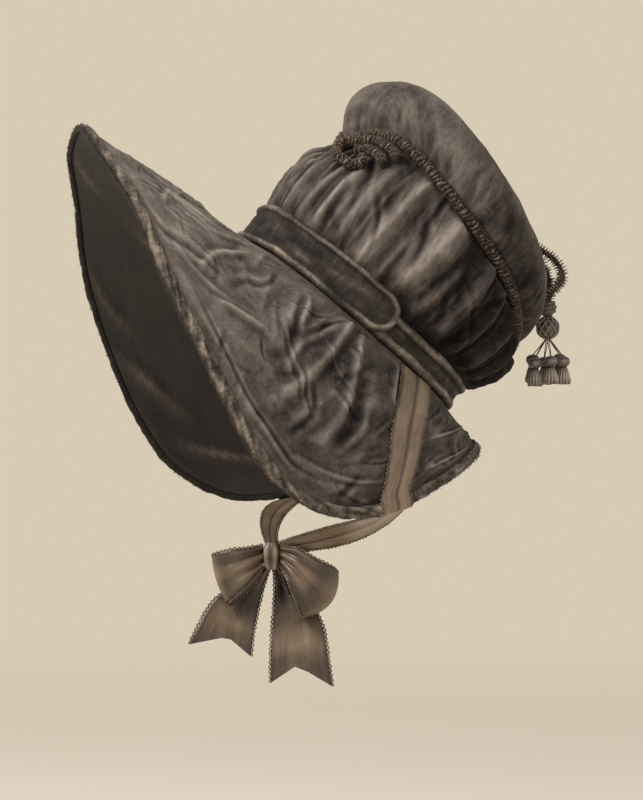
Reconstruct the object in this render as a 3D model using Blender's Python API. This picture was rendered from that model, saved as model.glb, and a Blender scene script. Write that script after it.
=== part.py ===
"""A velvet bonnet of the 1830s: a deep flared brim, a gathered crown, chenille trim and ribbon ties.

Metres, +Z up. The face looks along -Y and the wearer's left is +X. The origin is the centre of the
oval seam where the head goes in, which the brim and the crown are both sewn to.
"""

import math

import bmesh
import bpy
from mathutils import Vector

# The oval seam round the head: it dips over the ears, and the crown leans back from it.
RING_LENGTH = 0.195
RING_WIDTH = 0.176
RING_DIP = 0.006
CROWN_LEAN = math.radians(50)

# Cloth walls, and the gap between pieces that are sewn or laid together.
VELVET = 0.0020
LINING = 0.0010
SATIN = 0.0010
GAP = 0.0005

# The brim, from the head seam to the rim, and the folded edge that binds it.
BRIM_DEPTH = 0.205
PUCKER = 0.0065
BINDING_LEG = 0.0065
BINDING_TURN = 0.0025
BINDING_WALL = 0.0013
BINDING_FREE = 0.0120

# The crown's side, from the head seam to the seam under its puffed top.
CROWN_HEIGHT = 0.109
CROWN_SHIFT = 0.010
GATHER = 0.0085

# The puffed top of the crown, above the middle of the head seam.
TOP_HEIGHT = 0.1655
TOP_SLOPE = 0.28

# The velvet band with its rolled edges, and the long flat loop that lies over it.
BAND_WIDTH = 0.0225
LOOP_WIDTH = 0.0320
LOOP_END = 86
LOOP_ROUND = 10
BAND_WALL = 0.0016
ROLL = 0.0042

# Chenille: the cord on the crown's seam, and the two strands of the drop.
CHENILLE = 0.0084
SEAM_DROP = 0.0022
STRAND = 0.0070

# The drop: a bound knot, a netted ball and six small tassels on threads.
DROP_X = -0.0040
DROP_Y = 0.1650
DROP_TOP = 0.0195
BIND_RADIUS = 0.0066
BIND_HEIGHT = 0.0100
BALL_RADIUS = 0.0092
TASSELS = 6
TASSEL_TURN = 52
DROP_SPREAD = 0.0124
THREAD = 0.0012
THREAD_LENGTH = 0.0120
HEAD_RADIUS = 0.0047
HEAD_HEIGHT = 0.0074
SKIRT_RADIUS = 0.0058
SKIRT_LENGTH = 0.0140

# Ribbon ties, which lie on the brim and run over its rim to the bow, and the bow itself. The brim's folds
# are pressed flat up to one distance from a tie's middle and stand free from the other.
TIE_REST = 0.0008
TIE_PRESSED = 0.019
TIE_FREE = 0.031
KNOT_WIDTH = 0.0120
KNOT_HEIGHT = 0.0205
KNOT_DEPTH = 0.0110
BOW_REACH = 0.045
BOW_TURN = math.radians(73)
BOW_PLACE = Vector((0.0060, -0.0563, -0.1687))

# Where each tie's front and back edges bend on the way from the rim to the knot, on the near and far side.
NEAR_BENDS = (Vector((0.050, -0.0243, -0.1440)), Vector((0.050, 0.0030, -0.1650)))
FAR_BENDS = (Vector((-0.050, -0.0555, -0.1356)), Vector((-0.050, -0.0396, -0.1389)))

# How finely the pieces are faceted: columns round the head, and sides of a chenille cord.
COLUMNS = 56
CORD_SIDES = 6

UP_CROWN = Vector((0, math.cos(CROWN_LEAN), math.sin(CROWN_LEAN)))
TO_NAPE = Vector((0, math.sin(CROWN_LEAN), -math.cos(CROWN_LEAN)))
SIDEWAYS = Vector((1, 0, 0))


def table(names, rows):
    return {name: [row[i] for row in rows] for i, name in enumerate(names.split())}


# The rim, seen from the head seam: how far it lies outward, down and round from the point of the seam
# at that angle, as shares of the brim's depth. 0 degrees is the forehead and 180 the nape. Bow is how
# far the brim bulges between seam and rim, as a share of its own length there.
RIM = table(
    "around out down along bow",
    [
        (0, 0.750, 0.073, 0.000, 0.000),
        (15, 0.696, 0.132, -0.074, 0.000),
        (30, 0.585, 0.218, -0.126, 0.015),
        (45, 0.471, 0.365, -0.128, 0.040),
        (60, 0.379, 0.490, -0.092, 0.055),
        (75, 0.298, 0.603, -0.051, 0.065),
        (90, 0.267, 0.664, -0.002, 0.070),
        (105, 0.277, 0.613, 0.045, 0.065),
        (120, 0.273, 0.449, 0.044, 0.060),
        (135, 0.249, 0.267, 0.017, 0.060),
        (150, 0.217, 0.137, -0.011, 0.060),
        (165, 0.197, 0.060, -0.023, 0.045),
        (180, 0.195, 0.014, 0.000, 0.030),
    ],
)

# The crown's side: how far out it stands, as a share of the head seam, at each share of the way up.
SIDE = table(
    "rise out",
    [(0.0, 0.992), (0.12, 1.0), (0.30, 1.045), (0.48, 1.075), (0.64, 1.07), (0.80, 1.03), (0.92, 0.985), (1.0, 0.964)],
)

# How high the seam under the puffed top lies, as a share of its height at the side. It dips at the front.
SEAM = table(
    "around high",
    [(0, 0.98), (15, 1.09), (30, 1.165), (45, 1.165), (60, 1.115), (75, 1.06), (90, 1.0), (105, 0.945), (120, 0.885)]
    + [(135, 0.81), (150, 0.735), (165, 0.66), (180, 0.62)],
)

# The puffed top, from its seam to its middle: out as a share of the head seam, up as a share of the way
# from the seam to the top, and shift as a share of the crown's shift to the back.
TOP = table(
    "rise out up shift",
    [
        (0.00, 0.964, 0.00, 1.00),
        (0.12, 1.045, 0.10, 0.85),
        (0.28, 1.100, 0.28, 0.60),
        (0.45, 1.080, 0.50, 0.55),
        (0.62, 0.965, 0.72, 0.60),
        (0.76, 0.723, 0.88, 0.70),
        (0.89, 0.420, 0.97, 0.80),
        (1.00, 0.000, 1.00, 0.80),
    ],
)


# Folds of the brim: the two ends of each, then its half width as a share of the brim's depth and its
# height as a share of a pucker. They are the same on both sides.
FOLDS = table(
    "around depth to_around to_depth width height",
    [
        (79, 0.04, 77, 0.76, 0.060, 1.00),
        (86, 0.08, 93, 0.70, 0.050, 0.80),
        (104, 0.05, 107, 0.30, 0.050, 0.70),
        (62, 0.16, 66, 0.56, 0.060, 0.50),
        (22, 0.90, 47, 0.62, 0.060, 0.65),
        (46, 0.90, 75, 0.89, 0.045, 0.75),
        (77, 0.89, 99, 0.88, 0.050, 0.90),
        (43, 0.71, 39, 0.33, 0.045, 0.50),
        (54, 0.73, 63, 0.57, 0.045, 0.55),
        (16, 0.66, 34, 0.36, 0.055, 0.60),
        (100, 0.34, 103, 0.70, 0.060, 0.50),
        (129, 0.49, 150, 0.44, 0.050, 0.75),
        (129, 0.76, 150, 0.76, 0.045, 0.80),
        (152, 0.42, 178, 0.45, 0.035, 0.50),
        (2, 0.30, 9, 0.85, 0.060, 0.50),
    ],
)

# Gathers of the crown's side: the angle of each at the band and at the seam, its half width in degrees,
# its height as a share of the deepest gather, and the shares of the way up where it starts and ends.
GATHERS = table(
    "foot top width height start end",
    [
        (0, 2, 5.5, 0.55, 0.05, 0.85),
        (13, 17, 5.5, 0.60, 0.00, 0.85),
        (25, 27, 5.0, 0.50, 0.00, 0.62),
        (36, 40, 5.5, 0.75, 0.00, 0.62),
        (50, 49, 5.0, 0.60, 0.05, 0.80),
        (64, 63, 5.5, 0.90, 0.00, 0.95),
        (85, 84, 8.5, 0.95, 0.10, 0.98),
        (97, 96, 4.5, 0.70, 0.00, 0.60),
        (110, 106, 5.5, 1.00, 0.00, 0.98),
        (123, 118, 5.5, 0.75, 0.00, 0.92),
        (137, 131, 6.0, 1.00, 0.00, 0.98),
        (151, 146, 6.0, 0.80, 0.00, 0.95),
        (166, 162, 6.0, 0.75, 0.00, 0.95),
        (180, 180, 5.5, 0.65, 0.00, 0.92),
    ],
)

# The near tie's two edges on the brim, as angles at shares of its depth.
TIE = table(
    "depth front back",
    [(0.02, 108.2, 127.0), (0.16, 108.6, 125.6), (0.40, 109.6, 123.0), (0.70, 112.6, 122.3), (0.86, 114.0, 122.0)],
)

# Chenille laid on the crown's side at the front: the angle and the share of the way up.
CURL = table(
    "around rise",
    [(45, 0.845), (37, 0.875), (29, 0.875), (22, 0.840), (18, 0.765), (20, 0.680), (26, 0.620), (33, 0.615), (36, 0.665)]
    + [(33, 0.705)],
)
TUCK = table("around rise", [(43, 0.745), (38, 0.780), (31, 0.780), (27, 0.735)])

# Routes of the two strands of the drop, from where each leaves the crown's top to the knot.
OUTER_ROUTE = [
    (-0.0130, 0.1412, 0.0752),
    (-0.0120, 0.1507, 0.0678),
    (-0.0100, 0.1587, 0.0610),
    (-0.0080, 0.1667, 0.0550),
    (-0.0068, 0.1735, 0.0485),
    (-0.0050, 0.1768, 0.0410),
    (-0.0030, 0.1752, 0.0350),
    (-0.0010, 0.1700, 0.0298),
    (-0.0003, 0.1656, 0.0252),
    (-0.0002, 0.1650, 0.0203),
]
INNER_ROUTE = [
    (-0.0210, 0.1450, 0.0648),
    (-0.0200, 0.1530, 0.0600),
    (-0.0178, 0.1595, 0.0540),
    (-0.0145, 0.1645, 0.0465),
    (-0.0112, 0.1673, 0.0395),
    (-0.0090, 0.1676, 0.0313),
    (-0.0079, 0.1656, 0.0252),
    (-0.0078, 0.1650, 0.0203),
]

# Ribbon of the bow: its two edges right and up of the knot, how far it stands towards the side that the
# bow faces, how far its end is rounded, and how deep its end is notched, as shares of the bow's reach.
BOW_COLUMNS = "right up low_right low_up toward round notch"
LOOP_LEFT = table(
    BOW_COLUMNS,
    [
        (-0.145, 0.170, -0.145, -0.200, 0.035, 0.00, 0),
        (-0.430, 0.130, -0.350, -0.400, 0.170, 0.00, 0),
        (-0.680, 0.100, -0.550, -0.600, 0.200, 0.02, 0),
        (-0.930, 0.030, -0.700, -0.740, 0.130, 0.04, 0),
        (-0.990, -0.020, -0.740, -0.800, 0.010, 0.05, 0),
        (-0.920, -0.060, -0.680, -0.820, -0.110, 0.04, 0),
        (-0.660, -0.030, -0.420, -0.610, -0.130, 0.00, 0),
        (-0.380, 0.030, -0.220, -0.380, -0.090, 0.00, 0),
        (-0.145, 0.080, -0.145, -0.210, -0.035, 0.00, 0),
    ],
)
LOOP_RIGHT = table(
    BOW_COLUMNS,
    [
        (0.145, 0.150, 0.145, -0.180, 0.035, 0.00, 0),
        (0.450, 0.110, 0.280, -0.440, 0.220, 0.02, 0),
        (0.750, -0.050, 0.400, -0.720, 0.280, 0.10, 0),
        (1.000, -0.180, 0.490, -0.950, 0.220, 0.18, 0),
        (1.100, -0.290, 0.540, -1.020, 0.050, 0.20, 0),
        (1.030, -0.330, 0.500, -0.990, -0.110, 0.16, 0),
        (0.700, -0.160, 0.330, -0.700, -0.130, 0.04, 0),
        (0.400, -0.030, 0.200, -0.400, -0.090, 0.00, 0),
        (0.145, 0.050, 0.145, -0.150, -0.035, 0.00, 0),
    ],
)
TAIL_LEFT = table(
    BOW_COLUMNS,
    [
        (-0.130, -0.215, -0.030, -0.220, -0.100, 0.00, 0),
        (-0.500, -0.450, -0.150, -0.570, -0.280, 0.00, 0),
        (-0.850, -0.660, -0.230, -0.900, -0.240, 0.00, 0),
        (-1.070, -0.900, -0.300, -1.250, -0.150, 0.00, 0),
        (-1.220, -1.170, -0.330, -1.470, -0.050, 0.00, 0.08),
        (-1.370, -1.480, -0.350, -1.680, 0.000, 0.00, 0.26),
    ],
)
TAIL_RIGHT = table(
    BOW_COLUMNS,
    [
        (0.030, -0.220, 0.130, -0.215, -0.100, 0.00, 0),
        (0.050, -0.500, 0.420, -0.500, -0.290, 0.00, 0),
        (0.030, -0.900, 0.700, -0.880, -0.260, 0.00, 0),
        (0.000, -1.330, 0.860, -1.250, -0.170, 0.00, 0),
        (-0.020, -1.750, 0.930, -1.680, -0.050, 0.00, 0.10),
        (-0.020, -2.120, 1.000, -2.180, 0.000, 0.00, 0.33),
    ],
)

# Colour and roughness of each cloth.
FINISHES = {
    "velvet": ((0.075, 0.065, 0.055), 0.85),
    "velvet_edge": ((0.16, 0.135, 0.11), 0.85),
    "lining": ((0.028, 0.022, 0.020), 0.55),
    "chenille": ((0.060, 0.048, 0.038), 0.95),
    "ribbon": ((0.19, 0.145, 0.105), 0.45),
    "silk": ((0.24, 0.21, 0.17), 0.60),
}


def read(rows, column, at, key, odd=False):
    """A smooth curve through one column. The rows mirror past both ends, with the sign turned if odd."""
    keys, values = rows[key], rows[column]
    last = len(keys) - 1
    i = min(max(sum(k <= at for k in keys) - 1, 0), last - 1)
    sign = -1 if odd else 1
    before = values[i - 1] if i > 0 else sign * values[1]
    after = values[i + 2] if i + 2 <= last else sign * values[last - 1]
    t = (at - keys[i]) / (keys[i + 1] - keys[i])
    a, b = values[i], values[i + 1]
    return a + 0.5 * t * (b - before + t * (2 * before - 5 * a + 4 * b - after + t * (3 * (a - b) + after - before)))


def outward(around):
    turn = math.radians(around)
    return SIDEWAYS * math.sin(turn) - TO_NAPE * math.cos(turn)


def onward(around):
    turn = math.radians(around)
    return SIDEWAYS * math.cos(turn) + TO_NAPE * math.sin(turn)


def dip(around):
    return -RING_DIP * math.sin(math.radians(around)) ** 2


def ring_point(around, share=1.0):
    turn = math.radians(around)
    return SIDEWAYS * RING_WIDTH / 2 * share * math.sin(turn) - TO_NAPE * RING_LENGTH / 2 * share * math.cos(turn)


def brim_point(around, depth):
    """The underside of the brim's velvet, with no puckers: depth 0 is the head seam and 1 the rim."""
    angle = (around + 180) % 360 - 180
    out, down, bow = (read(RIM, name, abs(angle), "around") for name in ("out", "down", "bow"))
    along = read(RIM, "along", abs(angle), "around", odd=True) * (1 if angle >= 0 else -1)
    reach = (outward(angle) * out - UP_CROWN * down + onward(angle) * along) * BRIM_DEPTH
    bulge = (outward(angle) * down + UP_CROWN * out).normalized() * bow * reach.length
    seam = ring_point(angle) + UP_CROWN * dip(angle)
    return seam + reach * depth + bulge * 4 * depth * (1 - depth)


def seam_height(around):
    angle = abs((around + 180) % 360 - 180)
    return read(SEAM, "high", angle, "around") * CROWN_HEIGHT


def band_foot(around):
    return dip(around) + VELVET + GAP


def crown_point(around, rise):
    """The outer face of the crown's side, with no gathers: from the band's top up to the upper seam."""
    low = band_foot(around) + BAND_WIDTH
    height = low + (seam_height(around) - low) * rise
    return ring_point(around, read(SIDE, "out", rise, "rise")) + TO_NAPE * CROWN_SHIFT * rise + UP_CROWN * height


def top_point(around, rise):
    """The outer face of the puffed top, from the seam under it to its middle."""
    out, up, shift = (read(TOP, name, rise, "rise") for name in ("out", "up", "shift"))
    flat = ring_point(around, out) + TO_NAPE * CROWN_SHIFT * shift
    top = TOP_HEIGHT - TOP_SLOPE * flat.dot(TO_NAPE)
    return flat + UP_CROWN * (seam_height(around) * (1 - up) + top * up)


def ramp(value, start, end):
    t = min(max((value - start) / (end - start), 0), 1)
    return t * t * (3 - 2 * t)


def facing(surface, around, share):
    """The outward normal of a surface that is read by an angle and a share."""
    turn, step = 0.5, 0.004
    across = surface(around + turn, share) - surface(around - turn, share)
    along = surface(around, share + step) - surface(around, share - step)
    return across.cross(along).normalized()


def brim_facing(around, depth):
    return -facing(brim_point, around, depth)


def crown_facing(around, rise):
    return facing(crown_point, around, rise)


def rim_frame(around):
    """The brim's edge at an angle: its point, the way back into the brim square to the edge, and its normal."""
    normal = brim_facing(around, 1)
    edge = (brim_point(around + 0.5, 1) - brim_point(around - 0.5, 1)).normalized()
    inward = normal.cross(edge)
    if inward.dot(brim_point(around, 0) - brim_point(around, 1)) < 0:
        inward.negate()
    return brim_point(around, 1), inward, normal


def distance_to_line(point, start, end):
    way = end - start
    share = min(max((point - start).dot(way) / way.length_squared, 0), 1)
    return (point - start - way * share).length


def tie_middle(depth):
    side = (read(TIE, "front", depth, "depth") + read(TIE, "back", depth, "depth")) / 2
    return brim_point(side, depth)


def fold_height(around, depth):
    """How far the brim's folds lift it here. The band, the binding and the ties press them flat."""
    side = abs((around + 180) % 360 - 180)
    here = brim_point(side, depth)
    lift = 0
    for i, height in enumerate(FOLDS["height"]):
        start = brim_point(FOLDS["around"][i], FOLDS["depth"][i])
        end = brim_point(FOLDS["to_around"][i], FOLDS["to_depth"][i])
        away = distance_to_line(here, start, end) / (FOLDS["width"][i] * BRIM_DEPTH)
        lift = max(lift, height * math.exp(-away * away))
    rim, inward, _ = rim_frame(side)
    from_rim = (here - rim).dot(inward)
    from_seam = (here - brim_point(side, 0)).length
    pressed = ROLL * (0.8 + 2 * math.cos(math.radians(side)) ** 2)
    ties = [tie_middle(share) for share in (0, 0.3, 0.6, 0.9)]
    from_tie = min(distance_to_line(here, a, b) for a, b in zip(ties, ties[1:]))
    free = ramp(from_rim - BINDING_LEG, BINDING_TURN, BINDING_FREE) * ramp(from_seam, pressed, 3 * pressed)
    return PUCKER * lift * free * ramp(from_tie, TIE_PRESSED, TIE_FREE)


def on_brim(around, depth, height):
    return brim_point(around, depth) + brim_facing(around, depth) * height


def gather_height(around, rise):
    side = abs((around + 180) % 360 - 180)
    lift = 0
    for i, height in enumerate(GATHERS["height"]):
        foot, top, start, end = (GATHERS[name][i] for name in ("foot", "top", "start", "end"))
        away = (side - foot - (top - foot) * rise) / GATHERS["width"][i]
        swell = ramp(rise, start, start + 0.2) * (1 - ramp(rise, end - 0.25, end))
        lift = max(lift, height * swell * math.exp(-away * away))
    below_seam = (1 - rise) * (seam_height(side) - band_foot(side) - BAND_WIDTH)
    return GATHER * lift * ramp(below_seam, 1.5 * CHENILLE, 2.7 * CHENILLE)


def on_crown(around, rise, height):
    return crown_point(around, rise) + crown_facing(around, rise) * (gather_height(around, rise) + height)


def seam_line(around):
    """The middle of the chenille cord in the groove under the puffed top."""
    seam = crown_point(around, 1) - UP_CROWN * SEAM_DROP
    return seam + outward(around) * (CHENILLE / 2 + 3 * GAP)


def bow_point(right, up, toward):
    across = Vector((math.cos(BOW_TURN), math.sin(BOW_TURN), 0))
    forward = Vector((math.sin(BOW_TURN), -math.cos(BOW_TURN), 0))
    return BOW_PLACE + (across * right + forward * toward + Vector((0, 0, up))) * BOW_REACH


def smooth(points, spacing):
    """Points about one spacing apart on a smooth curve through a few chosen ones."""
    points = [Vector(point) for point in points]
    ends = [2 * points[0] - points[1]] + points + [2 * points[-1] - points[-2]]
    line = []
    for before, start, end, after in zip(ends, ends[1:], ends[2:], ends[3:]):
        steps = max(1, round((end - start).length / spacing))
        for k in range(steps):
            t = k / steps
            turn = 2 * before - 5 * start + 4 * end - after + (3 * (start - end) + after - before) * t
            line.append(start + (end - before + turn * t) * t / 2)
    return line + [points[-1]]


def add_piece(name, bm, finish, soft=True):
    bmesh.ops.recalc_face_normals(bm, faces=bm.faces)
    mesh = bpy.data.meshes.new(name)
    bm.to_mesh(mesh)
    bm.free()
    if soft:
        mesh.shade_smooth()
        mesh.set_sharp_from_angle(angle=math.radians(50))
    mesh.materials.append(material(finish))
    piece = bpy.data.objects.new(name, mesh)
    bpy.context.scene.collection.objects.link(piece)
    return piece


def material(finish):
    if finish in bpy.data.materials:
        return bpy.data.materials[finish]
    colour, roughness = FINISHES[finish]
    made = bpy.data.materials.new(finish)
    made.use_nodes = True
    shader = made.node_tree.nodes["Principled BSDF"]
    shader.inputs["Base Color"].default_value = (*colour, 1)
    shader.inputs["Roughness"].default_value = roughness
    return made


def loft(name, sections, finish, closed=False):
    """A closed body through rings of points. Its ends are capped, or joined if it is closed."""
    bm = bmesh.new()
    rings = [[bm.verts.new(point) for point in section] for section in sections]
    pairs = list(zip(rings, rings[1:])) + ([(rings[-1], rings[0])] if closed else [])
    for ring, following in pairs:
        for j in range(len(ring)):
            k = (j + 1) % len(ring)
            bm.faces.new((ring[j], ring[k], following[k], following[j]))
    if not closed:
        bm.faces.new(rings[0])
        bm.faces.new(rings[-1])
    return add_piece(name, bm, finish)


def wall(name, columns, finish, closed=False):
    """A cloth wall. Each column lists pairs of points, one on each face of the cloth."""
    sections = [[front for front, _ in column] + [back for _, back in reversed(column)] for column in columns]
    return loft(name, sections, finish, closed)


def round_head():
    return [360 * i / COLUMNS for i in range(COLUMNS)]


def make_brim():
    depths = (0, 0.10, 0.24, 0.39, 0.54, 0.69, 0.83, 0.955, 1)
    columns = []
    for around in round_head():
        lifts = [fold_height(around, depth) for depth in depths]
        columns.append([(on_brim(around, d, h), on_brim(around, d, h + VELVET)) for d, h in zip(depths, lifts)])
    wall("brim", columns, "velvet", closed=True)


def make_lining():
    depths = (0, 0.33, 0.66, 1)
    columns = [
        [(on_brim(around, depth, -GAP), on_brim(around, depth, -GAP - LINING)) for depth in depths]
        for around in round_head()
    ]
    wall("brim_lining", columns, "lining", closed=True)


def make_binding():
    over, under = VELVET + GAP, -LINING - 2 * GAP
    outline = [
        (BINDING_LEG, over),
        (BINDING_LEG, over + BINDING_WALL),
        (-GAP - BINDING_WALL, over + BINDING_WALL / 2),
        (-GAP - BINDING_WALL, under - BINDING_WALL / 2),
        (BINDING_TURN, under - BINDING_WALL),
        (BINDING_TURN, under),
        (-GAP, under),
        (-GAP, over),
    ]
    sections = []
    for around in round_head():
        rim, inward, normal = rim_frame(around)
        sections.append([rim + inward * back + normal * height for back, height in outline])
    loft("rim_binding", sections, "velvet_edge", closed=True)


def make_crown_side():
    columns = []
    for around in round_head():
        foot = ring_point(around, SIDE["out"][0]) + UP_CROWN * (dip(around) + GAP)
        column = [(foot, foot - outward(around) * VELVET)]
        for rise in (0, 0.14, 0.32, 0.52, 0.72, 0.90, 1):
            lift = gather_height(around, rise)
            column.append((on_crown(around, rise, 0), crown_point(around, rise) + crown_facing(around, rise) * (lift - VELVET)))
        columns.append(column)
    wall("crown_side", columns, "velvet", closed=True)


def make_crown_top():
    """One closed wall over the seam: rings of its outer face up to the middle, then its inner face back down."""
    bm = bmesh.new()
    rises = (0, 0.16, 0.38, 0.62, 0.84)
    faces = []
    for depth in (0, VELVET):
        rings = []
        for rise in rises:
            ring = []
            for around in round_head():
                inward = facing(top_point, around, rise) * -depth if rise else outward(around) * -depth
                ring.append(bm.verts.new(top_point(around, rise) + UP_CROWN * GAP + inward))
            rings.append(ring)
        middle = bm.verts.new(top_point(0, 1) + UP_CROWN * (GAP - depth))
        faces.append((rings, middle))
    count = COLUMNS
    for rings, middle in faces:
        for ring, following in zip(rings, rings[1:]):
            for j in range(count):
                k = (j + 1) % count
                bm.faces.new((ring[j], ring[k], following[k], following[j]))
        for j in range(count):
            bm.faces.new((rings[-1][j], rings[-1][(j + 1) % count], middle))
    outer, inner = faces[0][0][0], faces[1][0][0]
    for j in range(count):
        k = (j + 1) % count
        bm.faces.new((outer[j], outer[k], inner[k], inner[j]))
    add_piece("crown_top", bm, "velvet")


def band_section(around, width, stand, squeeze=1.0):
    """A section of a band with a rolled edge along both sides, from its foot up, standing off the crown."""
    foot, out = band_foot(around), outward(around)
    roll = ROLL * squeeze
    profile = [
        (0, roll * 0.35),
        (roll * 0.45, roll),
        (roll * 1.1, BAND_WALL),
        (width / 2, BAND_WALL * 1.3),
        (width - roll * 1.1, BAND_WALL),
        (width - roll * 0.45, roll),
        (width, roll * 0.35),
        (width - roll * 0.2, 0),
        (roll * 0.2, 0),
    ]
    base = ring_point(around) + out * stand
    return [base + out * thick + UP_CROWN * (foot + high) for high, thick in profile]


def make_bands():
    strap = [band_section(around, BAND_WIDTH, 0) for around in round_head()]
    loft("band_strap", strap, "velvet_edge", closed=True)
    step = 360 / COLUMNS
    count = int(LOOP_END // step)
    stand = ROLL + GAP
    sections = []
    for i in range(-count, count + 1):
        sections.append(band_section(i * step, LOOP_WIDTH, stand))
    for end in (-1, 1):
        caps = []
        for share in (0.45, 0.80, 1.0):
            around = end * (count * step + share * LOOP_ROUND)
            width = LOOP_WIDTH * math.sqrt(max(1 - share * share, 0.06))
            rise = (LOOP_WIDTH - width) / 2
            caps.append([point + UP_CROWN * rise for point in band_section(around, width, stand, width / LOOP_WIDTH)])
        sections = list(reversed(caps)) + sections if end < 0 else sections + caps
    loft("band_loop", sections, "velvet_edge")


def cord_rings(line, radius, sides, closed=False):
    """Rings square to a line of points, turned on from one to the next so that they don't twist."""
    rings, side = [], None
    count = len(line)
    for i, point in enumerate(line):
        after = line[(i + 1) % count] if closed else line[min(i + 1, count - 1)]
        way = (after - line[i - 1 if i or closed else 0]).normalized()
        side = way.orthogonal() if side is None else side - way * side.dot(way)
        side.normalize()
        up = way.cross(side)
        turns = [2 * math.pi * k / sides for k in range(sides)]
        rings.append([point + (side * math.cos(turn) + up * math.sin(turn)) * radius for turn in turns])
    return rings


def make_chenille():
    sections = []
    for around in round_head():
        middle, out = seam_line(around), outward(around)
        turns = [math.radians(360 * k / CORD_SIDES) for k in range(CORD_SIDES)]
        sections.append([middle + (out * math.cos(t) + UP_CROWN * math.sin(t)) * CHENILLE / 2 for t in turns])
    loft("seam_chenille", sections, "chenille", closed=True)
    for name, rows in (("chenille_curl", CURL), ("chenille_tuck", TUCK)):
        height = CHENILLE / 2 + GAP
        route = [on_crown(around, rise, height) for around, rise in zip(rows["around"], rows["rise"])]
        loft(name, cord_rings(smooth(route, CHENILLE * 0.8), CHENILLE / 2, CORD_SIDES), "chenille")


def make_strand(name, route):
    curve = bpy.data.curves.new(name, "CURVE")
    curve.dimensions = "3D"
    curve.bevel_depth = STRAND / 2
    curve.bevel_resolution = 2
    curve.use_fill_caps = True
    line = smooth(route, STRAND * 0.9)
    spline = curve.splines.new("POLY")
    spline.points.add(len(line) - 1)
    for point, place in zip(spline.points, line):
        point.co = (*place, 1)
    curve.materials.append(material("chenille"))
    bpy.context.scene.collection.objects.link(bpy.data.objects.new(name, curve))


def turned(name, centre, profile, sides, finish):
    """A round body about a vertical axis: each row of the profile is (radius, height)."""
    sections = []
    for radius, height in profile:
        turns = [2 * math.pi * k / sides for k in range(sides)]
        sections.append([centre + Vector((radius * math.cos(t), radius * math.sin(t), height)) for t in turns])
    loft(name, sections, finish)


def make_drop():
    make_strand("drop_strand_outer", OUTER_ROUTE)
    make_strand("drop_strand_inner", INNER_ROUTE)
    top = Vector((DROP_X, DROP_Y, DROP_TOP))
    wraps = [(0.75, 0), (1.0, -0.12), (1.0, -0.38), (0.85, -0.50), (1.0, -0.62), (1.0, -0.88), (0.75, -1)]
    turned("drop_knot", top, [(BIND_RADIUS * out, BIND_HEIGHT * down) for out, down in wraps], 12, "chenille")
    ball = top - Vector((0, 0, BIND_HEIGHT + GAP + BALL_RADIUS))
    tilts = [math.radians(80 - 20 * k) for k in range(9)]
    turned("drop_ball", ball, [(BALL_RADIUS * math.cos(t), BALL_RADIUS * math.sin(t)) for t in tilts], 12, "chenille")
    for i in range(TASSELS):
        make_tassel(f"tassel_{i + 1}", ball - Vector((0, 0, BALL_RADIUS + GAP)), 360 * i / TASSELS + TASSEL_TURN)


def make_tassel(name, start, around):
    """Thread, round head and fluted skirt in one body; the thread slants from the ball to the head."""
    sides = 8
    turn = math.radians(around)
    out = Vector((math.cos(turn), math.sin(turn), 0))
    neck = THREAD_LENGTH + HEAD_HEIGHT
    profile = [
        (THREAD / 2, 0),
        (THREAD / 2, THREAD_LENGTH),
        (HEAD_RADIUS * 0.8, THREAD_LENGTH + HEAD_HEIGHT * 0.12),
        (HEAD_RADIUS, THREAD_LENGTH + HEAD_HEIGHT * 0.45),
        (HEAD_RADIUS * 0.6, neck),
        (SKIRT_RADIUS * 0.9, neck + SKIRT_LENGTH * 0.35),
        (SKIRT_RADIUS, neck + SKIRT_LENGTH),
    ]
    sections = []
    for radius, down in profile:
        spread = DROP_SPREAD * min(down / THREAD_LENGTH, 1) + THREAD * 1.5 * (1 - min(down / THREAD_LENGTH, 1))
        middle = start + out * spread - Vector((0, 0, down))
        flute = 0.14 if down > neck else 0
        ring = []
        for k in range(sides):
            angle = 2 * math.pi * k / sides
            reach = radius * (1 - flute * (k % 2))
            ring.append(middle + Vector((math.cos(angle), math.sin(angle), 0)) * reach)
        sections.append(ring)
    loft(name, sections, "silk")


def ribbon(name, rows, finish):
    """A strip of ribbon: each row is points across it. Its two faces lie half the satin off those points."""
    last, end = len(rows) - 1, len(rows[0]) - 1
    columns = []
    for i, row in enumerate(rows):
        column = []
        for j, point in enumerate(row):
            along = rows[min(i + 1, last)][j] - rows[max(i - 1, 0)][j]
            across = row[min(j + 1, end)] - row[max(j - 1, 0)]
            normal = along.cross(across).normalized() * SATIN / 2
            column.append((point + normal, point - normal))
        columns.append(column)
    wall(name, columns, finish)


def bow_rows(rows, across=5):
    strip = []
    for i in range(len(rows["up"])):
        first = Vector((rows["right"][i], rows["up"][i]))
        second = Vector((rows["low_right"][i], rows["low_up"][i]))
        way = (first + second).normalized()
        row = []
        for k in range(across):
            share = k / (across - 1)
            place = first.lerp(second, share) + way * rows["round"][i] * 4 * share * (1 - share)
            place -= way * rows["notch"][i] * (1 - abs(2 * share - 1))
            row.append(bow_point(place.x, place.y, rows["toward"][i]))
        strip.append(row)
    return strip


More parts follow.
